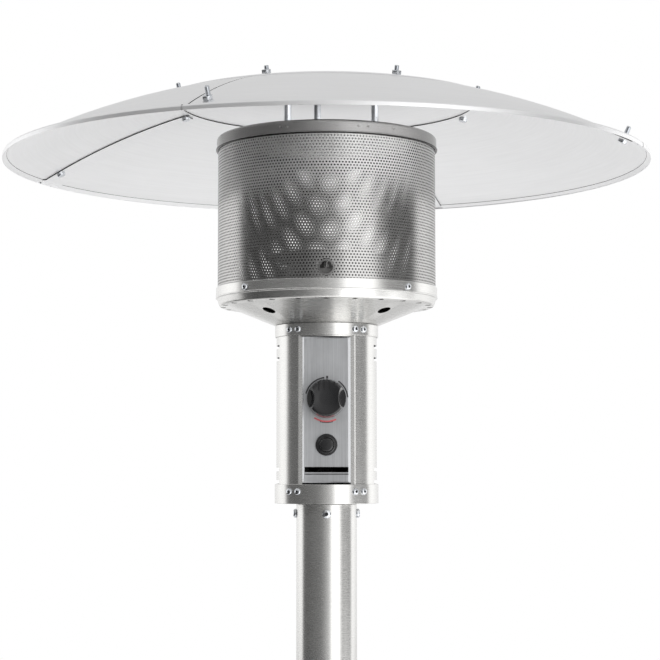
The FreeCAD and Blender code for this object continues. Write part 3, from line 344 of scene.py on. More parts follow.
def finishes():
    """Return every finish by name, made once.

    Each row gives the material's name, tone, metallic share, roughness and pattern, then the spread of
    its tone, the spread of its roughness and the strength of its relief.
    """
    tones = colours()
    return {
        "stainless": finish_material("Brushed stainless", tones.stainless, 1.0, 0.27, "turned", 0.07, 0.03,
                                     0.006, brushed=0.8),
        "reflector": finish_material("Satin reflector", tones.reflector, 1.0, 0.44, "turned", 0.03, 0.04,
                                     0.01, {"Lines": 900.0, "Patches": 9.0}),
        "hem": finish_material("Folded hem", tones.reflector, 1.0, 0.36, "turned", 0.03, 0.03, 0.0),
        "emitter": finish_material("Emitter steel", tones.emitter, 1.0, 0.2, "speckle", 0.1, 0.05, 0.01),
        "cap": finish_material("Cap steel", tones.cap, 1.0, 0.24, "turned", 0.1, 0.04, 0.008, brushed=0.4),
        "burner": finish_material("Burner steel", tones.burner, 1.0, 0.4, "speckle", 0.2, 0.08, 0.04),
        "zinc": finish_material("Zinc plate", tones.zinc, 1.0, 0.15, "speckle", 0.08, 0.04, 0.01),
        "plate": finish_material("Control sheet", tones.plate, 1.0, 0.42, "sheet", 0.13, 0.07, 0.02,
                                 {"Patches": 42.0}),
        "plastic": finish_material("Black plastic", tones.plastic, 0.0, 0.22, "speckle", 0.2, 0.04, 0.02,
                                   Coat_Weight=0.35, Coat_Roughness=0.12),
        "rubber": finish_material("Rubber", tones.rubber, 0.0, 0.7, "speckle", 0.2, 0.08, 0.06),
        "brass": finish_material("Brass", tones.brass, 1.0, 0.3, "speckle", 0.08, 0.06, 0.02),
        "iron": finish_material("Cast iron", tones.iron, 0.0, 0.62, "speckle", 0.2, 0.1, 0.2),
        "paint": finish_material("Cylinder paint", tones.paint, 0.0, 0.4, "speckle", 0.05, 0.05, 0.03),
        "dial_dark": finish_material("Dial dark", tones.dial_dark, 0.0, 0.45, "speckle", 0.1, 0.05, 0.0),
        "dial_red": finish_material("Dial red", tones.dial_red, 0.0, 0.45, "speckle", 0.1, 0.05, 0.0),
    }


# Meshes


def body_of(node):
    """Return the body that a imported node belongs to."""
    bodies = frame["record"]["behaviour"]["bodies"]
    return next(body for body, members in bodies.items() if node in members)


def linked(name, data):
    """Link data to the scene as an object."""
    thing = bpy.data.objects.new(name, data)
    bpy.context.scene.collection.objects.link(thing)
    return thing


def piece(name, mesh, material, nodes):
    """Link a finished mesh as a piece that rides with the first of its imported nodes."""
    mesh.materials.clear()
    mesh.materials.append(material)
    thing = linked(name, mesh)
    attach(thing, body_of(nodes[0]))
    return thing


def stand_in(node, mesh, material):
    """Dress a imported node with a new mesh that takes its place."""
    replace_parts(piece(f"{node}_dressed", mesh, material, [node]), node)


def smooth(mesh, angle=SHEET_SMOOTH):
    """Shade a mesh smooth up to an angle between faces."""
    mesh.shade_smooth()
    mesh.set_sharp_from_angle(angle=math.radians(angle))
    return mesh


def joined_work(node):
    """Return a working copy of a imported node's mesh with its loose triangles joined."""
    work = bmesh.new()
    work.from_mesh(frame["nodes"][node].data)
    bmesh.ops.remove_doubles(work, verts=work.verts, dist=PACKED_JOIN)
    return work


def new_work():
    """Start a working mesh whose faces carry the attribute painted_shade, for painted shade; return both."""
    work = bmesh.new()
    return work, work.faces.layers.float.new("painted_shade")


def plain_mesh(work, name):
    """Turn a working mesh into a mesh."""
    mesh = bpy.data.meshes.new(name)
    work.to_mesh(mesh)
    work.free()
    return mesh


def closed_mesh(work, name, joined=False):
    """Turn a working mesh into a mesh whose faces point outwards, with doubled corners joined on request."""
    if joined:
        bmesh.ops.remove_doubles(work, verts=work.verts, dist=NEW_JOIN)
    bmesh.ops.recalc_face_normals(work, faces=work.faces)
    return plain_mesh(work, name)


def bridge(work, painted_shade, rings, shade=None, closed=False):
    """Join rings of corners by faces, and close the row of rings on itself or by end faces.

    The shade of a step round a ring says how much painted shade its faces get.
    """
    pairs = list(zip(rings, rings[1:]))
    if closed:
        pairs.append((rings[-1], rings[0]))
    for ring, after in pairs:
        for step in range(len(ring)):
            onward = (step + 1) % len(ring)
            face = work.faces.new((ring[step], after[step], after[onward], ring[onward]))
            face[painted_shade] = float(shade(step)) if shade else 0.0
    if not closed:
        work.faces.new(rings[0])
        work.faces.new(rings[-1])


def merged_copy(node, shade=None):
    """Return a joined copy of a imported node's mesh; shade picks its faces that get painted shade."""
    work = joined_work(node)
    if shade:
        work.normal_update()
        painted_shade = work.faces.layers.float.new("painted_shade")
        for face in work.faces:
            face[painted_shade] = float(shade(face))
    mesh = plain_mesh(work, f"{node}_mesh")
    if "custom_normal" in mesh.attributes:
        mesh.attributes.remove(mesh.attributes["custom_normal"])
    return smooth(mesh)


def skin(node, material, bevel=0.0, shade=None):
    """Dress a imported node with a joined, smoothly shaded copy of itself."""
    thing = piece(f"{node}_skin", merged_copy(node, shade), material, [node])
    if bevel:
        edge = thing.modifiers.new("Edges", "BEVEL")
        edge.width = bevel
        edge.segments = 2
        edge.limit_method = "ANGLE"
        edge.angle_limit = math.radians(BEVEL_ANGLE)
        edge.harden_normals = True
    else:
        thing.modifiers.new("Normals", "WEIGHTED_NORMAL").keep_sharp = True
    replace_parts(thing, node)
    return thing


def rounded(corners, radius, steps=3, hold=0.0):
    """Round every corner of a closed outline, as far as its sides allow.

    A hold adds points that far from the round ends, which keep the shading of the sides flat.
    """
    result = []
    count = len(corners)
    for index, corner in enumerate(corners):
        here = Vector(corner)
        before = Vector(corners[index - 1]) - here
        after = Vector(corners[(index + 1) % count]) - here
        cut = min(radius, before.length * CORNER_SHARE, after.length * CORNER_SHARE)
        start, end = here + before.normalized() * cut, here + after.normalized() * cut
        if hold:
            result.append(start + before.normalized() * hold)
        for step in range(steps + 1):
            share = step / steps
            result.append(start * (1 - share) ** 2 + here * (2 * share * (1 - share)) + end * share ** 2)
        if hold:
            result.append(end + after.normalized() * hold)
    return result


def rounded_middle(corners, radius, steps=3):
    """Points that round the second of three corners."""
    line = rounded(corners, radius, steps)
    return [tuple(spot) for spot in line[steps + 1:2 * steps + 2]]


def lathe(name, outline, segments=192, painted_shade_steps=()):
    """Turn a closed outline of (radius, height) about the upright axis; painted_shade_steps are its steps
    that get painted shade.
    """
    work, painted_shade = new_work()
    rings = []
    for index in range(segments):
        angle = 2 * math.pi * index / segments
        rings.append([work.verts.new((r * math.cos(angle), r * math.sin(angle), z)) for r, z in outline])
    bridge(work, painted_shade, rings, lambda step: step in painted_shade_steps, closed=True)
    return smooth(closed_mesh(work, name, joined=True), TURNED_SMOOTH)


def carved(mesh, tool):
    """Cut a closed tool mesh out of a mesh."""
    things = [linked("blank", mesh), linked("tool", tool)]
    cut = things[0].modifiers.new("Cut", "BOOLEAN")
    cut.operation = "DIFFERENCE"
    cut.solver = "EXACT"
    cut.object = things[1]
    deps = bpy.context.evaluated_depsgraph_get()
    result = bpy.data.meshes.new_from_object(things[0].evaluated_get(deps), depsgraph=deps)
    for thing in things:
        bpy.data.objects.remove(thing)
    return smooth(result)


def cutter(work, name):
    """Turn a working mesh into a cutting tool whose cut walls get painted shade."""
    painted_shade = work.faces.layers.float.new("painted_shade")
    # Painted shade on every wall the tool cuts, standing in for the shade inside holes and slots
    for face in work.faces:
        face[painted_shade] = 1.0
    return plain_mesh(work, name)


def bored(mesh, bores, reach=4 * MM, sides=28):
    """Drill round holes, each (place, direction, radius), through a mesh."""
    work = bmesh.new()
    for place, aim, radius in bores:
        turn = aim.to_track_quat("Z", "Y").to_matrix().to_4x4()
        turn.translation = place
        bmesh.ops.create_cone(work, cap_ends=True, segments=sides, radius1=radius, radius2=radius,
                              depth=2 * reach, matrix=turn)
    return carved(mesh, cutter(work, "bores"))


def boxed(mesh, boxes):
    """Cut upright boxes, each (lowest corner, highest corner), out of a mesh."""
    work = bmesh.new()
    for low, high in boxes:
        low, high = Vector(low), Vector(high)
        cube = bmesh.ops.create_cube(work, size=1.0)
        bmesh.ops.scale(work, vec=high - low, verts=cube["verts"])
        bmesh.ops.translate(work, vec=(low + high) / 2, verts=cube["verts"])
    return carved(mesh, cutter(work, "boxes"))


def ring_outline(inner, outer, foot, top):
    """Corners of a ring's section."""
    return [(inner, foot), (outer, foot), (outer, top), (inner, top)]


def islands(node):
    """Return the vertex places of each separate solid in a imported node."""
    work = joined_work(node)
    left = set(work.verts)
    found = []
    while left:
        seed = left.pop()
        group, edge = [seed], [seed]
        while edge:
            near = edge.pop()
            for link in near.link_edges:
                other = link.other_vert(near)
                if other in left:
                    left.remove(other)
                    group.append(other)
                    edge.append(other)
        found.append(np.array([vert.co for vert in group]))
    work.free()
    return sorted(found, key=lambda spots: tuple(np.round(spots.mean(axis=0), 5)))


def radial_seats(node):
    """Return (place of the head's tip, outward direction) of screws that point at the upright axis."""
    seats = []
    for spots in islands(node):
        middle = (spots.min(axis=0) + spots.max(axis=0)) / 2
        outward = Vector((middle[0], middle[1], 0)).normalized()
        reach = max(float(np.dot(spot[:2], outward.xy)) for spot in spots)
        seats.append((outward * reach + Vector((0, 0, float(middle[2]))), outward))
    return seats


def axis_seats(node, slender):
    """Return (lowest point on the axis, upward axis) of solids that are slender, or flat, along it."""
    seats = []
    for spots in islands(node):
        middle = spots.mean(axis=0)
        _, axes = np.linalg.eigh(np.cov((spots - middle).T))
        axis = Vector(axes[:, 2 if slender else 0])
        if axis.z < 0:
            axis.negate()
        middle = Vector((spots.min(axis=0) + spots.max(axis=0)) / 2)
        along = [float((Vector(spot) - middle).dot(axis)) for spot in spots]
        seats.append((middle + axis * min(along), axis))
    return seats


# Repeats


def interface(tree, inputs):
    """Give a geometry tree its output and its named inputs."""
    tree.interface.new_socket(name="Geometry", in_out="OUTPUT", socket_type="NodeSocketGeometry")
    for name, kind in inputs.items():
        tree.interface.new_socket(name=name, in_out="INPUT", socket_type=f"NodeSocket{kind}")


def seat_tree():
    """Tree that sets one shape on every point of a mesh, along each point's own direction."""
    found = bpy.data.node_groups.get("Set On Seats")
    if found:
        return found
    tree = bpy.data.node_groups.new("Set On Seats", "GeometryNodeTree")
    tree.is_modifier = True
    interface(tree, {"Seats": "Geometry", "Shape": "Object", "Finish": "Material"})
    start, end = tree.nodes.new("NodeGroupInput"), tree.nodes.new("NodeGroupOutput")
    shape = add(tree, "GeometryNodeObjectInfo", {"Object": start.outputs["Shape"], "As Instance": True})
    aim = add(tree, "GeometryNodeInputNamedAttribute", {"Name": "aim"}, data_type="FLOAT_VECTOR")
    turn = add(tree, "FunctionNodeAlignRotationToVector", {"Vector": aim.outputs[0]}, axis="Z")
    placed = add(tree, "GeometryNodeInstanceOnPoints", {
        "Points": start.outputs["Seats"], "Instance": shape.outputs["Geometry"], "Rotation": turn.outputs[0],
    })
    solid = add(tree, "GeometryNodeRealizeInstances", {"Geometry": placed.outputs[0]})
    done = add(tree, "GeometryNodeSetMaterial",
               {"Geometry": solid.outputs[0], "Material": start.outputs["Finish"]})
    tree.links.new(done.outputs[0], end.inputs[0])
    return tree


def drum_tree():
    """Tree that lays perforated cells in staggered rows and wraps them round the upright axis."""
    found = bpy.data.node_groups.get("Perforated Drum")
    if found:
        return found
    tree = bpy.data.node_groups.new("Perforated Drum", "GeometryNodeTree")
    tree.is_modifier = True
    interface(tree, {
        "Cell": "Object", "Finish": "Material", "Columns": "Int", "Rows": "Int", "Pitch": "Float",
        "Rise": "Float", "Foot": "Float", "Radius": "Float", "Start": "Float", "Hole Height": "Float",
        "Hole Radius": "Float",
    })
    start, end = tree.nodes.new("NodeGroupInput"), tree.nodes.new("NodeGroupOutput")
    socket = start.outputs
    index = add(tree, "GeometryNodeInputIndex").outputs[0]
    row = math_node(tree, "FLOOR", math_node(tree, "DIVIDE", index, socket["Columns"]))
    column = math_node(tree, "SUBTRACT", index, math_node(tree, "MULTIPLY", row, socket["Columns"]))
    stagger = math_node(tree, "MULTIPLY", math_node(tree, "MODULO", row, 2.0), 0.5)
    along = math_node(tree, "MULTIPLY", math_node(tree, "ADD", column, stagger), socket["Pitch"])
    along = math_node(tree, "ADD", along, math_node(tree, "MULTIPLY", socket["Start"], socket["Radius"]))
    height = math_node(tree, "MULTIPLY", math_node(tree, "ADD", row, 0.5), socket["Rise"])
    height = math_node(tree, "ADD", height, socket["Foot"])
    spot = add(tree, "ShaderNodeCombineXYZ", {"X": along, "Z": height}).outputs[0]
    count = math_node(tree, "MULTIPLY", socket["Columns"], socket["Rows"])
    points = add(tree, "GeometryNodePoints", {"Count": count, "Position": spot})
    place = add(tree, "GeometryNodeInputPosition").outputs[0]
    hole = add(tree, "ShaderNodeCombineXYZ", {"Z": socket["Hole Height"]}).outputs[0]
    away = vector_node(tree, "DISTANCE", {0: place, 1: hole}, "Value")
    near = add(tree, "FunctionNodeCompare", {0: away, 1: socket["Hole Radius"]}, operation="LESS_THAN")
    kept = add(tree, "GeometryNodeDeleteGeometry",
               {"Geometry": points.outputs[0], "Selection": near.outputs[0]}, domain="POINT")
    cell = add(tree, "GeometryNodeObjectInfo", {"Object": socket["Cell"], "As Instance": True})
    placed = add(tree, "GeometryNodeInstanceOnPoints",
                 {"Points": kept.outputs[0], "Instance": cell.outputs["Geometry"]})
    solid = add(tree, "GeometryNodeRealizeInstances", {"Geometry": placed.outputs[0]})
    axes = add(tree, "ShaderNodeSeparateXYZ", {0: place})
    angle = math_node(tree, "DIVIDE", axes.outputs["X"], socket["Radius"])
    reach = math_node(tree, "ADD", axes.outputs["Y"], socket["Radius"])
    forward = math_node(tree, "MULTIPLY", reach, math_node(tree, "COSINE", angle))
    wrapped = add(tree, "ShaderNodeCombineXYZ", {
        "X": math_node(tree, "MULTIPLY", reach, math_node(tree, "SINE", angle)),
        "Y": math_node(tree, "MULTIPLY", forward, -1.0),
        "Z": axes.outputs["Z"],
    }).outputs[0]
    bent = add(tree, "GeometryNodeSetPosition", {"Geometry": solid.outputs[0], "Position": wrapped})
    done = add(tree, "GeometryNodeSetMaterial", {"Geometry": bent.outputs[0], "Material": socket["Finish"]})
    tree.links.new(done.outputs[0], end.inputs[0])
    return tree


def grown(tree, name, seed, values):
    """Run a geometry tree on a seed mesh and return the plain mesh that comes out."""
    holder = linked(f"{name}_seed", seed)
    step = holder.modifiers.new("Repeat", "NODES")
    step.node_group = tree
    sockets = {item.name: item.identifier for item in tree.interface.items_tree if item.in_out == "INPUT"}
    for label, value in values.items():
        step[sockets[label]] = value
    holder.update_tag()
    deps = bpy.context.evaluated_depsgraph_get()
    deps.update()
    mesh = bpy.data.meshes.new_from_object(holder.evaluated_get(deps), depsgraph=deps)
    mesh.name = name
    holder.modifiers.remove(step)
    bpy.data.objects.remove(holder)
    return mesh


def repeat(name, seats, shape, material, nodes):
    """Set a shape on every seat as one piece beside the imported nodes."""
    seed = bpy.data.meshes.new(f"{name}_seats")
    seed.from_pydata([tuple(place) for place, _ in seats], [], [])
    aims = seed.attributes.new("aim", "FLOAT_VECTOR", "POINT")
    aims.data.foreach_set("vector", [part for _, aim in seats for part in aim])
    thing = linked(f"{name}_shape", shape)
    mesh = grown(seat_tree(), name, seed, {"Shape": thing, "Finish": material})
    bpy.data.objects.remove(thing)
    return piece(f"{name}_dressed", mesh, material, nodes)


def fasten(name, seats, shape, material, nodes):
    """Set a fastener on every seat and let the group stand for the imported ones."""
    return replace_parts(repeat(name, seats, shape, material, nodes), *nodes)


def turned_shape(name, outline, sides=24, flats=None, recess=None):
    """Small turned shape along Z, with a drive hole from the step recess on, whose faces get painted shade.

    Flats are half the width over the flats and the radius past which the shape is six-sided.
    """
    work, painted_shade = new_work()
    rings = []
    for r, z in outline:
        ring = []
        for index in range(sides):
            angle = 2 * math.pi * index / sides
            reach = r
            if flats and r > flats[1]:
                wedge = math.remainder(angle, math.pi / 3)
                reach = min(r, flats[0] / math.cos(wedge))
            ring.append(work.verts.new((reach * math.cos(angle), reach * math.sin(angle), z)))
        rings.append(ring)
    for step, (low, high) in enumerate(zip(rings, rings[1:])):
        for index in range(sides):
            after = (index + 1) % sides
            face = work.faces.new((low[index], low[after], high[after], high[index]))
            # Painted shade on the drive hole's faces, standing in for the shade in the recess
            face[painted_shade] = float(recess is not None and step >= recess)
    work.faces.new(list(reversed(rings[0])))
    work.faces.new(rings[-1])[painted_shade] = float(recess is not None)
    return smooth(closed_mesh(work, name, joined=True), TURNED_SMOOTH)


def pan_head(name, radius, height, recess=0.95 * MM):
    """Domed head seen from its tip, which is at zero, with a round drive recess in painted shade.

    Its dome and its recess are given as shares of their radius and of the head's height.
    """
    dome = ((0.6, 1.0), (1.0, 1.0), (1.0, 0.62), (0.93, 0.36), (0.74, 0.12))
    drive = ((1.15, 0.0), (1.0, 0.08), (0.8, 0.6), (0.3, 0.66))
    outline = [(radius * across, -height * down) for across, down in dome]
    outline += [(recess * across, -height * down) for across, down in drive]
    return turned_shape(name, outline, recess=len(dome) + 1)


def threaded(radius, foot, top, pitch):
    """Outline of a thread drawn as even ridges between two heights, with a tapered tip."""
    root, tip, crest_start, crest_end = radius * 0.86, radius * 0.7, pitch * 0.35, pitch * 0.6
    count = max(int((top - foot) / pitch), 1)
    line = []
    for index in range(count):
        base = foot + index * pitch
        line += [(root, base), (radius, base + crest_start), (radius, base + crest_end)]
    return line + [(root, foot + count * pitch), (tip, top)]


def small_screws(node, material):
    """Dress the small domed screws that point at the upright axis."""
    fasten(node, radial_seats(node), pan_head(f"{node}_head", *SMALL_HEAD), material, [node])


# Pieces


class HeaterOperator:
    """Shared settings of the heater's operators."""
    bl_options = {"REGISTER", "UNDO"}


class HEATER_OT_reflector(HeaterOperator, bpy.types.Operator):
    """Dress the dish panels, the centre disc, their bolts and the rods that carry them"""
    bl_idname = "heater.reflector"
    bl_label = "Reflector"

    def execute(self, context):
        """Build the pieces."""
        looks = finishes()
        for side in ("front", "right", "rear", "left"):
            # Cut edges along the seams and round the centre hole get painted shade, dark lines that stand in
            # for the shadow in the gaps
            skin(f"reflector_panel_{side}", looks["reflector"], shade=self.cut_edge)
        self.thin_edge(skin("reflector_centre_disc", looks["reflector"]).data)
        self.hem(looks["hem"])
        skin("standoff_rods", looks["zinc"])
        self.bolts(looks["zinc"])
        self.nuts(looks["zinc"])
        skin("standoff_nuts", looks["zinc"])
        return {"FINISHED"}

    def bolts(self, material):
        """Bolts with domed heads below and threads above: short ones at the centre, long ones at the rim."""
        shank, head, head_height = 2.0 * MM, 3.8 * MM, 2.6 * MM
        plain_end, thread_start = 5.5 * MM, 5.6 * MM
        short, long = 11.6 * MM, 14.6 * MM
        dome = [(2.4 * MM, 0.0), (3.3 * MM, 0.25 * MM), (head, 1.2 * MM), (head, head_height)]
        neck = [(shank, head_height), (shank, plain_end)]
        seats = axis_seats("reflector_bolts", True)
        inner = [seat for seat in seats if seat[0].xy.length < CENTRE_ZONE]
        outer = [seat for seat in seats if seat[0].xy.length > CENTRE_ZONE]
        for name, tip, chosen in (("inner", short, inner), ("outer", long, outer)):
            thread = threaded(shank, thread_start, tip, sizes().thread_pitch)
            shape = turned_shape("bolt", dome + neck + thread)
            fasten(f"reflector_bolts_{name}", chosen, shape, material, ["reflector_bolts"])

    def nuts(self, material):
        """Six-sided nuts on the bolts, turned round at both ends."""
        bore, end, corner = 2.05 * MM, 3.4 * MM, 4.05 * MM
        height, bevel = 3.2 * MM, 0.35 * MM
        half_width, round_up_to = 3.5 * MM, 2.1 * MM
        outline = [(bore, 0.0), (end, 0.0), (corner, bevel), (corner, height - bevel), (end, height),
                   (bore, height)]
        shape = turned_shape("nut", outline, flats=(half_width, round_up_to))
        fasten("reflector_nuts", axis_seats("reflector_nuts", False), shape, material, ["reflector_nuts"])

    @staticmethod
    def cut_edge(face):
        """Tell whether a face is a cut edge of the sheet along a seam or round the centre hole; these get
        painted shade.
        """
        facing = 0.85
        place = face.calc_center_median()
        outward = Vector((place.x, place.y, 0)).normalized()
        around = Vector((-outward.y, outward.x, 0))
        inner = place.xy.length < CENTRE_ZONE and abs(face.normal.dot(outward)) > facing
        return inner or abs(face.normal.dot(around)) > facing

    def hem(self, material):
        """Lip's edge folded back inwards and up at a slant, with painted shade along its inner edge as a dark
        seam line.
        """
        low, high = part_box("reflector_panel_front")
        height, gap, fold, seam = 3.6 * MM, 0.3 * MM, 0.3 * MM, 0.4 * MM
        radius, top = max(-low.x, high.x, -low.y) - gap, low.z + height
        outline = rounded([(radius, low.z), (radius, top), (radius - height, top)], fold)
        # The last step, a short strip at the inner edge, gets painted shade that stands in for the shadow
        # where the hem meets the dish
        tip = len(outline) - 1
        outline.append(outline[tip] + (outline[0] - outline[tip]).normalized() * seam)
        mesh = lathe("reflector_hem", outline, 256, [tip])
        piece("reflector_hem", mesh, material, ["reflector_panel_front"])

    @staticmethod
    def thin_edge(mesh, width=2.5 * MM, slope=0.27):
        """Thin a dished disc's edge by sliding its upper rim inwards along the dish."""
        band, above = 0.05 * MM, 0.2 * MM
        reach = max(vert.co.xy.length for vert in mesh.vertices)
        rim = [vert for vert in mesh.vertices if vert.co.xy.length > reach - band]
        foot = min(vert.co.z for vert in rim)
        for vert in rim:
            if vert.co.z > foot + above:
                vert.co.xy *= 1 - width / reach
                vert.co.z += width * slope


SCREENED = {
    "heat_deflector": "stainless",
    "burner_tray": "burner",
    "main_burner": "burner",
    "pilot_bracket": "burner",
    "pilot_tube": "stainless",
    "thermocouple": "stainless",
    "spark_electrode": "stainless",
}


class HEATER_OT_emitter(HeaterOperator, bpy.types.Operator):
    """Lay the emitter's fine perforation and dress its cap and the burner within it"""
    bl_idname = "heater.emitter"
    bl_label = "Emitter"

    def execute(self, context):
        """Build the pieces."""
        looks = finishes()
        span = sizes()
        low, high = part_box("emitter_screen")
        radius, sheet = high.x, 0.7 * MM
        rows, columns = span.perforation_rows, span.perforation_columns
        foot, top = low.z + span.perforation_margin, high.z - span.perforation_margin
        pitch, rise = 2 * math.pi * radius / columns, (top - foot) / rows
        cell = linked("cell", self.cell(pitch, rise, span.perforation_width / 2, sheet))
        light_z, light_r = low.z + 16.5 * MM, 5.15 * MM
        clear = light_r + 0.4 * pitch
        quarter = columns // 4
        seed = bpy.data.meshes.new("drum_seed")
        for index in range(4):
            mesh = grown(drum_tree(), f"emitter_screen_{index}", seed.copy(), {
                "Cell": cell, "Finish": looks["emitter"], "Columns": quarter, "Rows": rows, "Pitch": pitch,
                "Rise": rise, "Foot": foot, "Radius": radius, "Start": index * math.pi / 2 - math.pi / 4,
                "Hole Height": light_z, "Hole Radius": clear,
            })
            part = piece(f"emitter_screen_{index}", mesh, looks["emitter"], ["emitter_screen"])
            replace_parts(part, "emitter_screen")
        bpy.data.objects.remove(cell)
        for name, ends in (("foot", (low.z, foot)), ("top", (top, high.z))):
            edge = lathe(f"screen_edge_{name}", ring_outline(radius - sheet, radius, *ends), 220)
            piece(f"emitter_screen_edge_{name}", edge, looks["emitter"], ["emitter_screen"])
        rim = self.hole_rim(radius, sheet, light_z, light_r, span.lighting_rim)
        piece("lighting_hole_rim", rim, looks["emitter"], ["emitter_screen"])
        self.cap(looks["cap"])
        self.welds(looks["burner"])
        for node, look in SCREENED.items():
            skin(node, looks[look])
        return {"FINISHED"}

    def cap(self, material):
        """Spun cap with a rounded edge and a rolled lip, with painted shade on the lip's lower half and
        underneath.
        """
        low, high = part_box("emitter_cap")
        wall, bend, lip, steps = 0.8 * MM, 3.0 * MM, 0.9 * MM, 8
        outer, inner = high.x, high.x - wall
        turns = [step * math.pi / 2 / steps for step in range(steps + 1)]
        aims = [(math.sin(turn), math.cos(turn)) for turn in turns]
        corner = [(outer - bend + bend * across, high.z - bend + bend * up) for across, up in aims]
        hollow = [(r - wall * across, z - wall * up) for (r, z), (across, up) in zip(corner, aims)]
        roll = [(outer + lip * math.sin(2 * turn), low.z + lip + lip * math.cos(2 * turn)) for turn in turns]
        outline = [(0.0, high.z)] + corner + roll + [(inner, low.z)] + hollow[::-1] + [(0.0, high.z - wall)]
        # Painted shade from the lip's lower half on, a dark line that stands in for the shadow beneath the
        # lip
        under = range(len(corner) + len(roll) // 2 + 1, len(outline))
        stand_in("emitter_cap", lathe("emitter_cap", outline, 256, under), material)

    def welds(self, material):
        """Spot welds on the cap's side: the same five in each third of the way round."""
        low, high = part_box("emitter_cap")
        dot, height = sizes().weld_dot / 2, low.z + 6.0 * MM
        shape = turned_shape("weld", [(dot, -0.1 * MM), (dot * 0.9, 0.05 * MM), (dot * 0.4, 0.12 * MM)], 12)
        seats = []
        for turn in (0, 120, 240):
            for spot in (-23.7, -20.0, 16.0, 21.1, 35.8):
                angle = math.radians(turn + spot - 90)
                aim = Vector((math.cos(angle), math.sin(angle), 0))
                seats.append((aim * high.x + Vector((0, 0, height)), aim))
        repeat("cap_welds", seats, shape, material, ["emitter_cap"])

    def cell(self, pitch, rise, radius, sheet, sides=8):
        """Rectangle of sheet with a round hole: outer face at zero, inner face behind it; the inner face and
        the hole's wall get painted shade.
        """
        wall_shade = 0.6
        work, painted_shade = new_work()
        turns = [2 * math.pi * (index + 0.5) / sides for index in range(sides)]
        hole = [(radius * math.cos(turn), radius * math.sin(turn)) for turn in turns]
        right, left, high, low = pitch / 2, -pitch / 2, rise / 6, -rise / 6
        border = [(right, high), (right, 3 * high), (left, 3 * high), (left, high),
                  (left, low), (left, 3 * low), (right, 3 * low), (right, low)]
        layers = {}
        for label, line in (("border", border), ("hole", hole)):
            for depth in (0.0, -sheet):
                layers[label, depth] = [work.verts.new((x, depth, z)) for x, z in line]
        for index in range(sides):
            after = (index + 1) % sides
            front, back = layers["hole", 0.0], layers["hole", -sheet]
            rim, rear = layers["border", 0.0], layers["border", -sheet]
            work.faces.new((rim[index], rim[after], front[after], front[index]))
            # Painted shade: full on the inner face, part on the hole's wall, standing in for the shade inside
            # the drum
            work.faces.new((rear[after], rear[index], back[index], back[after]))[painted_shade] = 1.0
            work.faces.new((front[index], front[after], back[after], back[index]))[painted_shade] = wall_shade
        return plain_mesh(work, "cell")

    def hole_rim(self, radius, sheet, height, hole, width, sides=40):
        """Narrow rim that follows the drum round its lighting hole; painted shade darkens its face to the
        perforated sheet's look and its sides fully.
        """
        proud, face_shade = 0.05 * MM, 0.4
        section = [(hole, -sheet), (hole, proud), (hole + width, proud), (hole + width, -sheet)]
        work, painted_shade = new_work()
        rings = []
        for index in range(sides):
            angle = 2 * math.pi * index / sides
            ring = []
            for reach, lift in section:
                turn, out = reach * math.cos(angle) / radius, radius + lift
                rise = height + reach * math.sin(angle)
                ring.append(work.verts.new((out * math.sin(turn), -out * math.cos(turn), rise)))
            rings.append(ring)
        # Painted shade: part on the rim's face, full on its sides
        bridge(work, painted_shade, rings, lambda step: face_shade if step == 1 else 1.0, closed=True)
        return smooth(closed_mesh(work, "lighting_rim"))


class HEATER_OT_bowl(HeaterOperator, bpy.types.Operator):
    """Dress the spun burner bowl and its screws"""
    bl_idname = "heater.bowl"
    bl_label = "Bowl"

    def execute(self, context):
        """Build the pieces."""
        looks = finishes()
        self.bowl(looks["stainless"])
        small_screws("bowl_screws", looks["zinc"])
        return {"FINISHED"}

    def bowl(self, material):
        """Turned bowl with a spun corner, a beaded step, vents in its cone and air holes in its shelf; its
        inner faces and the walls of its vents and holes get painted shade.
        """
        low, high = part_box("burner_bowl")
        wall, neck, ledge = 1.0 * MM, 41.4 * MM, 0.5 * MM
        top_band, low_band, cone, step, taper, shelf = (size * MM for size in (8.9, 7.0, 15.9, 1.0, 1.8, 8.5))
        corner_round, rim_round, rim_flat = 2.2 * MM, 0.4 * MM, 0.6 * MM
        middle = high.z - top_band
        bottom = middle - low_band
        root = bottom - cone
        wide = high.x - step
        corner = wide - taper
        inner = corner - shelf
        soft = rounded_middle([(inner, bottom), (corner, bottom), (wide, middle)], corner_round, 6)
        outer = [(neck, low.z), (neck, root), (neck + wall + ledge, root), (inner, bottom)] + soft
        bead, bead_x, bead_z = 0.9 * MM, high.x - 0.55 * MM, middle + 0.5 * MM
        turns = [math.radians(18 * index - 110) for index in range(10)]
        roll = [(bead_x + bead * math.cos(turn), bead_z + bead * math.sin(turn)) for turn in turns]
        rim = rounded_middle([(high.x, middle), (high.x, high.z), (high.x - wall, high.z)], rim_round)
        # The inner surface, whose faces get painted shade
        painted_shade = [(high.x - wall, high.z), (high.x - wall, middle + wall), (wide - wall, middle + wall),
                  (corner - wall, bottom + wall), (inner, bottom + wall), (neck - wall, root + wall),
                  (neck - wall, low.z)]
        outline = outer + roll + [(high.x, high.z - rim_flat)] + rim + painted_shade
        mesh = lathe("burner_bowl", outline, 240, range(len(outline) - len(painted_shade), len(outline)))
        share, vent, vents, hole, holes, first = 0.62, 5.5 * MM, 4, 2.5 * MM, 24, math.radians(45)
        slope = math.atan2(cone, inner - neck)
        vent_r, vent_z = neck + (inner - neck) * share, root + cone * share
        hole_r = inner + (corner - inner) * share
        cutters = []
        for index in range(vents):
            turn = first + 2 * math.pi * index / vents
            across, ahead = math.cos(turn), math.sin(turn)
            aim = Vector((math.sin(slope) * across, math.sin(slope) * ahead, -math.cos(slope)))
            cutters.append((Vector((vent_r * across, vent_r * ahead, vent_z)), aim, vent))
        for index in range(holes):
            turn = first + 2 * math.pi * index / holes
            place = Vector((hole_r * math.cos(turn), hole_r * math.sin(turn), bottom))
            cutters.append((place, Vector((0, 0, 1)), hole))
        stand_in("burner_bowl", bored(mesh, cutters), material)


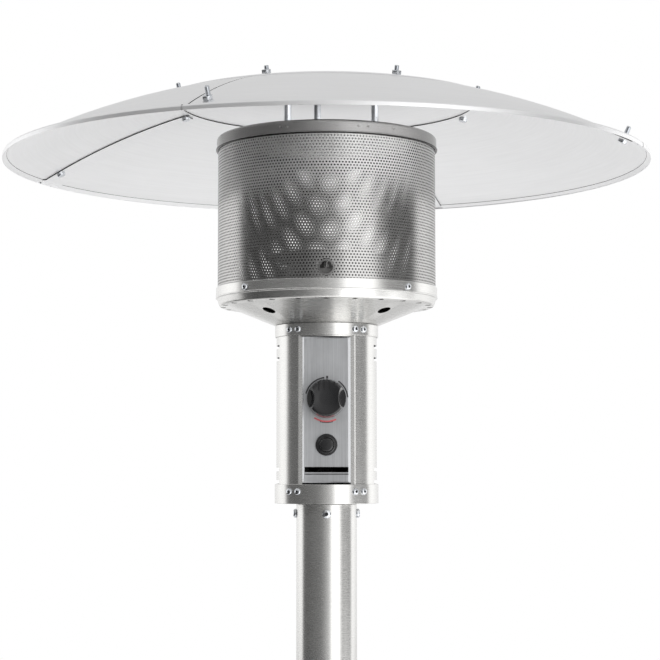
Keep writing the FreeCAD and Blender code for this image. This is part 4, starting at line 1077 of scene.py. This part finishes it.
class HEATER_OT_housing(HeaterOperator, bpy.types.Operator):
    """Dress the control housing: bands, covers, floor and screws"""
    bl_idname = "heater.housing"
    bl_label = "Housing"

    def execute(self, context):
        """Build the pieces."""
        looks = finishes()
        wall, hold = 1.0 * MM, 0.2 * MM
        for node in ("lower_band", "upper_band"):
            low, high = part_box(node)
            section = ring_outline(high.x - wall, high.x, low.z, high.z)
            stand_in(node, lathe(node, rounded(section, sizes().edge_round, hold=hold)), looks["stainless"])
        for node, side in (("side_cover_left", -1), ("side_cover_right", 1)):
            stand_in(node, self.cover(node, side), looks["stainless"])
        skin("housing_floor", looks["stainless"])
        small_screws("housing_screws", looks["zinc"])
        return {"FINISHED"}

    def cover(self, node, side):
        """Half of the round wall, its front edge bent in towards the plate, with louvre slots at its side;
        its inner face and the slots' walls get painted shade.
        """
        low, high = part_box(node)
        wall, bend, flange = 0.8 * MM, sizes().cover_fold, sizes().cover_flange
        middle = max(abs(low.x), abs(high.x)) - wall / 2
        front, rear, fold = (math.radians(angle) for angle in (34.4, 179.6, 34.0))
        wall_steps, fold_steps = 72, 12
        hub = middle - bend
        centre = (hub * math.sin(front), -hub * math.cos(front))
        turns = [(rear + (front - rear) * index / wall_steps, middle, (0.0, 0.0))
                 for index in range(wall_steps + 1)]
        turns += [(front - fold * index / fold_steps, bend, centre) for index in range(1, fold_steps + 1)]
        rows = [((x + reach * math.sin(turn), y - reach * math.cos(turn)), (math.sin(turn), -math.cos(turn)))
                for turn, reach, (x, y) in turns]
        (x, y), (out_x, out_y) = rows[-1]
        rows.append(((x + out_y * flange, y - out_x * flange), (out_x, out_y)))
        work, painted_shade = new_work()
        section = ((wall / 2, low.z), (wall / 2, high.z), (-wall / 2, high.z), (-wall / 2, low.z))
        rings = []
        for (x, y), (out_x, out_y) in rows:
            rings.append([work.verts.new((side * (x + out_x * lift), y + out_y * lift, height))
                          for lift, height in section])
        # The wall's inner face gets painted shade
        bridge(work, painted_shade, rings, lambda step: step == 2)
        mesh = closed_mesh(work, node)
        half, tall, inset, pitch = 15.0 * MM, 3.0 * MM, 14.0 * MM, 10.2 * MM
        near, far = sorted((side * 30.0 * MM, side * 50.0 * MM))
        top = high.z - inset - tall
        feet = (low.z + inset, low.z + inset + pitch, top - pitch, top)
        return boxed(mesh, [((near, -half, foot), (far, half, foot + tall)) for foot in feet])


class HEATER_OT_controls(HeaterOperator, bpy.types.Operator):
    """Dress the control plate, knob and igniter and print the dial"""
    bl_idname = "heater.controls"
    bl_label = "Controls"

    def execute(self, context):
        """Build the pieces."""
        looks = finishes()
        stand_in("control_plate", self.plate(), looks["plate"])
        for node, bevel in (("knob", 0.35 * MM), ("igniter_collar", 0.2 * MM), ("igniter_button", 0.4 * MM)):
            skin(node, looks["plastic"], bevel)
        low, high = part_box("knob")
        middle = (low.z + high.z) / 2
        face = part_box("control_plate")[0].y
        radius, width = sizes().dial_radius, sizes().dial_width
        # Name, first and last angle in degrees, finish, radius and width
        arcs = (
            ("dial_left", 96, 166, "dial_dark", radius, width),
            ("dial_right", 4, 56, "dial_dark", radius, width),
            ("dial_tick", 86, 91, "dial_dark", radius + 0.3 * MM, 2.2 * MM),
            ("dial_red", -123, -65, "dial_red", radius + 1.2 * MM, 1.3 * MM),
            ("dial_edge", -106, -74, "dial_dark", radius + 2.2 * MM, 0.6 * MM),
        )
        for name, start, stop, look, radius, width in arcs:
            mesh = self.arc(name, middle, face, (math.radians(start), math.radians(stop)), radius, width)
            piece(name, mesh, looks[look], ["control_plate"])
        return {"FINISHED"}

    def plate(self):
        """Pressed plate: flat face, border tilted to the right at both sides, slot, scored line and holes;
        the cut walls of slot, scored line and holes get painted shade.
        """
        low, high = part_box("control_plate")
        border, drop, spill, corner = sizes().plate_border, 1.9 * MM, 0.35 * MM, 0.8 * MM
        foot, left, right = low.z - drop, low.x - spill, high.x + spill
        slope, left_border, right_border = math.tan(math.radians(17)), 0.6 * border, 1.05 * border
        # Depth at the left and at the right, and the share of the border that is passed
        levels = [(high.y, high.y, 0.0)]
        for share in (0.0, 0.9, 1.0):
            rise = slope * (1 - share)
            levels.append((low.y - rise * left_border, low.y + rise * right_border, share))
        levels.append((low.y, low.y, 1.05))
        work, painted_shade = new_work()
        rings = []
        for raised, sunk, share in levels:
            inset = left_border * share
            left_edge, right_edge = left + inset, right - right_border * share
            corners = [(right_edge, foot + inset), (right_edge, high.z - inset),
                       (left_edge, high.z - inset), (left_edge, foot + inset)]
            rings.append([work.verts.new((x, raised if x < 0 else sunk, z))
                          for x, z in rounded(corners, corner, 4)])
        bridge(work, painted_shade, rings)
        mesh = closed_mesh(work, "control_plate")
        bore, bores = 5.8 * MM, []
        for node in ("knob", "igniter_button"):
            start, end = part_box(node)
            bores.append((Vector((0, low.y, (start.z + end.z) / 2)), Vector((0, 1, 0)), bore))
        # The slot and the scored line show as dark lines through the painted shade on their cut walls
        reach, past, middle, half = 18.0 * MM, 2.0 * MM, low.z + 8.9 * MM, 2.2 * MM
        slot = ((-reach, low.y - past, middle - half), (reach, high.y + past, middle + half))
        score_z, cut, ahead, deep = middle - half - 1.5 * MM, 0.4 * MM, 1.0 * MM, 0.5 * MM
        score = ((-reach, low.y - ahead, score_z - cut), (reach, low.y + deep, score_z + cut))
        return boxed(bored(mesh, bores), [slot, score])

    def arc(self, name, height, face, ends, radius, width, steps=24):
        """Thin printed arc on the plate."""
        lift = sizes().print_lift
        inner, outer = radius - width / 2, radius + width / 2
        section = ((inner, 0.0), (inner, lift), (outer, lift), (outer, 0.0))
        start, stop = ends
        work, painted_shade = new_work()
        rows = []
        for index in range(steps + 1):
            angle = start + (stop - start) * index / steps
            across, up = math.cos(angle), math.sin(angle)
            rows.append([work.verts.new((reach * across, face - thick, height + reach * up))
                         for reach, thick in section])
        bridge(work, painted_shade, rows)
        return closed_mesh(work, name)


class HEATER_OT_stand(HeaterOperator, bpy.types.Operator):
    """Dress the post, the cylinder housing and the base"""
    bl_idname = "heater.stand"
    bl_label = "Stand"

    def execute(self, context):
        """Build the pieces."""
        looks = finishes()
        low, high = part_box("post")
        wall, groove, gap, hold = 1.5 * MM, 0.4 * MM, 0.8 * MM, 0.1 * MM
        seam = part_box("lower_band")[0].z - gap
        section = [(high.x - wall, low.z), (high.x, low.z), (high.x, seam), (high.x - groove, seam),
                   (high.x - groove, high.z), (high.x - wall, high.z)]
        outline = rounded(section, sizes().edge_round, hold=hold)
        # Faces from the seam up, the groove under the band, get painted shade that stands in for the shadow
        # at the joint
        painted_shade_steps = [index for index, spot in enumerate(outline) if spot[1] >= seam]
        stand_in("post", lathe("post", outline, 128, painted_shade_steps), looks["stainless"])
        for node in ("tank_housing", "tank_housing_cap", "base_pan"):
            skin(node, looks["stainless"])
        skin("rubber_feet", looks["rubber"])
        proud = 0.8 * MM
        for node in ("post_screws_upper", "post_screws_lower"):
            seats = [(place + aim * proud, aim) for place, aim in radial_seats(node)]
            fasten(node, seats, pan_head("post_screw", *POST_HEAD), looks["zinc"], [node])
        small_screws("tank_housing_screws", looks["zinc"])
        return {"FINISHED"}


INNER = {
    "brass": ("valve_body", "valve_plunger", "injector", "gas_tube"),
    "zinc": ("valve_stem", "regulator"),
    "plastic": ("igniter_body", "tilt_switch"),
    "rubber": ("gas_hose",),
    "paint": ("gas_cylinder",),
    "iron": ("base_weight",),
    "stainless": ("post_flange", "tank_locator_ring"),
}


class HEATER_OT_inner(HeaterOperator, bpy.types.Operator):
    """Give the pieces within the housings their finishes"""
    bl_idname = "heater.inner"
    bl_label = "Inner pieces"

    def execute(self, context):
        """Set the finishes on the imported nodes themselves."""
        looks = finishes()
        for look, nodes in INNER.items():
            for node in nodes:
                mesh = frame["nodes"][node].data
                mesh.materials.clear()
                mesh.materials.append(looks[look])
        return {"FINISHED"}


# Stage


class HEATER_OT_stage(HeaterOperator, bpy.types.Operator):
    """Set the floor, the studio surroundings, the lamps and the camera"""
    bl_idname = "heater.stage"
    bl_label = "Stage"

    def execute(self, context):
        """Build the stage."""
        self.floor(context)
        self.surroundings(context)
        self.lamps(context)
        self.camera(context)
        context.scene.view_settings.view_transform = "Standard"
        return {"FINISHED"}

    @staticmethod
    def towards(tree, place, aim, start, stop):
        """Mask that grows along a direction on the floor between two distances."""
        along = vector_node(tree, "DOT_PRODUCT", {0: place, 1: aim}, "Value")
        return ramped(tree, along, start, stop, soft=True)

    def floor(self, context):
        """Pale floor that keeps the shadow near the base and fades to white further out.

        The steel sees painted shade on it at the front left, standing in for a dark sheet laid there, and a
        painted glow at the front right, where it gives off light for all rays but the camera's.
        """
        mesh = bpy.data.meshes.new("floor")
        side, front, back = 2.5, -0.75, 4.0
        corners = [(-side, front, 0), (side, front, 0), (side, back, 0), (-side, back, 0)]
        mesh.from_pydata(corners, [], [(0, 1, 2, 3)])
        material = bpy.data.materials.new("Studio floor")
        material.use_nodes = True
        tree = material.node_tree
        shader = tree.nodes["Principled BSDF"]
        shader.inputs["Roughness"].default_value = 0.9
        shader.inputs["Emission Color"].default_value = grey(1.0)
        place = add(tree, "ShaderNodeTexCoord").outputs["Object"]
        # Painted shade at the front left and a painted glow at the front right, neither seen by the camera
        front_left, front_right, painted_shade_level = (-0.87, -0.5, 0.0), (0.55, -0.83, 0.0), 0.03
        painted_shade_patch = self.towards(tree, place, front_left, 0.3, 0.8)
        bright = self.towards(tree, place, front_right, 0.25, 0.6)
        far = ramped(tree, vector_node(tree, "LENGTH", {0: place}, "Value"), 0.3, 0.7, soft=True)
        seen = add(tree, "ShaderNodeLightPath").outputs["Is Camera Ray"]
        unseen = math_node(tree, "SUBTRACT", 1.0, seen)
        painted_shade_patch = math_node(tree, "MULTIPLY", painted_shade_patch, unseen)
        tone = blend(tree, painted_shade_patch, (*colours().floor, 1.0), grey(painted_shade_level))
        tree.links.new(tone, shader.inputs["Base Color"])
        # Painted glow: the floor's front right gives off light, though it is no lamp
        tree.links.new(math_node(tree, "MULTIPLY", bright, unseen), shader.inputs["Emission Strength"])
        white = add(tree, "ShaderNodeEmission", {"Strength": 1.0})
        mixed = add(tree, "ShaderNodeMixShader", {
            0: math_node(tree, "MULTIPLY", far, seen), 1: shader.outputs[0], 2: white.outputs[0],
        })
        tree.links.new(mixed.outputs[0], tree.nodes["Material Output"].inputs["Surface"])
        mesh.materials.append(material)
        linked("studio_floor", mesh)

    @staticmethod
    def bands(tree, turn, glow, side=1.35):
        """Brightness of the room round the horizon; nothing in it is brighter than the screen's glow."""
        # Degrees from the front, positive to the right, and the brightness there
        levels = (
            (-172, 0.88), (-150, 1.0), (-124, side), (-107, side), (-98, 0.28), (-91, 0.14), (-70, 0.12),
            (-45, 0.14), (-22, 0.17), (-10, 0.28), (2, 0.48), (12, 0.72), (21, glow), (48, glow), (60, 0.5),
            (68, 0.29), (90, 0.26), (102, 0.29), (111, side), (124, side), (150, 1.0), (172, 0.88),
        )
        ramp = add(tree, "ShaderNodeValToRGB", {"Fac": ramped(tree, turn, -math.pi, math.pi)})
        stops = ramp.color_ramp.elements
        while len(stops) > 1:
            stops.remove(stops[-1])
        stops[0].position = 0.0
        stops[0].color = grey(1 / glow)
        for degrees, level in levels:
            stops.new((degrees + 180) / 360).color = grey(level / glow)
        return vector_node(tree, "SCALE", {0: ramp.outputs[0], "Scale": glow})

    def surroundings(self, context):
        """White studio behind, dim sky, darker room in front, bright sides, tall screen at the front right.

        The screen and the sides reach higher than the room and gain strength towards the floor. The camera
        sees plain white instead. Heights are sines of the angle above the horizon.
        """
        world = bpy.data.worlds.new("Studio")
        context.scene.world = world
        world.use_nodes = True
        tree = world.node_tree
        ground = tree.nodes["Background"]
        axes = add(tree, "ShaderNodeSeparateXYZ", {0: add(tree, "ShaderNodeTexCoord").outputs["Generated"]})
        ahead = math_node(tree, "MULTIPLY", axes.outputs["Y"], -1.0)
        height = axes.outputs["Z"]
        glow, sky, low_gain = context.scene.heater_stage.screen_glow, 0.68, 1.5
        around = self.bands(tree, math_node(tree, "ARCTAN2", axes.outputs["X"], ahead), glow)
        lift = ramped(tree, height, 0.2, 0.45)
        room = blend(tree, lift, around, grey(sky))
        over = vector_node(tree, "SUBTRACT", {0: around, 1: (1.0, 1.0, 1.0)})
        over = vector_node(tree, "MAXIMUM", {0: over, 1: (0.0, 0.0, 0.0)})
        tall = math_node(tree, "MULTIPLY", lift, ramped(tree, height, 0.5, 0.3))
        low = ramped(tree, height, -0.25, -0.5)
        gain = math_node(tree, "ADD", math_node(tree, "MULTIPLY", tall, (glow - sky) / (glow - 1)),
                         math_node(tree, "MULTIPLY", low, low_gain))
        lit = vector_node(tree, "ADD", {0: room, 1: vector_node(tree, "SCALE", {0: over, "Scale": gain})})
        path = add(tree, "ShaderNodeLightPath")
        clear = math_node(tree, "MAXIMUM", path.outputs["Is Camera Ray"], path.outputs["Is Transmission Ray"])
        tree.links.new(blend(tree, clear, lit, grey(1.0)), ground.inputs["Color"])
        ground.inputs["Strength"].default_value = 1.0

    def lamps(self, context):
        """Three soft lamps: key at the front right, fill at the left, one overhead."""
        stage, middle = context.scene.heater_stage, Vector((0, 0, 0.6))
        # Name, place, width and power
        rows = (
            ("key", (1.3, -1.5, 1.7), 1.2, stage.key_power),
            ("fill", (-1.6, -0.6, 1.2), 1.4, stage.fill_power),
            ("top", (0.0, 0.2, 2.6), 2.0, stage.top_power),
        )
        for name, place, size, power in rows:
            lamp = bpy.data.lights.new(name, "AREA")
            lamp.energy = power
            lamp.size = size
            thing = linked(name, lamp)
            thing.location = place
            thing.rotation_euler = (middle - Vector(place)).to_track_quat("-Z", "Y").to_euler()
            thing.visible_glossy = False

    def camera(self, context):
        """Camera at the photograph's angle."""
        stage = context.scene.heater_stage
        lens = bpy.data.cameras.new("camera")
        lens.lens = stage.camera_lens
        lens.sensor_width = 36.0
        thing = linked("camera", lens)
        thing.location = (stage.camera_x, stage.camera_y, stage.camera_z)
        thing.rotation_euler = (math.pi / 2 + stage.camera_pitch, 0, 0)
        context.scene.camera = thing


class HEATER_PT_panel(bpy.types.Panel):
    """Sidebar panel with one button per group of pieces"""
    bl_idname = "HEATER_PT_panel"
    bl_label = "Tabletop heater"
    bl_space_type = "VIEW_3D"
    bl_region_type = "UI"
    bl_category = "Heater"

    def draw(self, context):
        """List the operators and the settings."""
        column = self.layout.column(align=True)
        for operator in OPERATORS:
            column.operator(operator.bl_idname, text=operator.bl_label)
        for group in (context.scene.heater_sizes, context.scene.heater_colours, context.scene.heater_stage):
            box = self.layout.box()
            for name in group.__annotations__:
                box.prop(group, name)


SETTINGS = {"heater_sizes": HeaterSizes, "heater_colours": HeaterColours, "heater_stage": HeaterStage}
OPERATORS = (HEATER_OT_reflector, HEATER_OT_emitter, HEATER_OT_bowl, HEATER_OT_housing, HEATER_OT_controls,
             HEATER_OT_stand, HEATER_OT_inner, HEATER_OT_stage)


def register():
    """Register the settings, operators and panel."""
    for kind in (*SETTINGS.values(), *OPERATORS, HEATER_PT_panel):
        bpy.utils.register_class(kind)
    for name, kind in SETTINGS.items():
        setattr(bpy.types.Scene, name, PointerProperty(type=kind))


def unregister():
    """Undo what register did."""
    for name in SETTINGS:
        delattr(bpy.types.Scene, name)
    for kind in reversed((*SETTINGS.values(), *OPERATORS, HEATER_PT_panel)):
        bpy.utils.unregister_class(kind)


def main():
    """Build the whole scene."""
    register()
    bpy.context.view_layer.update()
    bpy.ops.heater.reflector()
    bpy.ops.heater.emitter()
    bpy.ops.heater.bowl()
    bpy.ops.heater.housing()
    bpy.ops.heater.controls()
    bpy.ops.heater.stand()
    bpy.ops.heater.inner()
    bpy.ops.heater.stage()


if __name__ == "__main__":
    main()
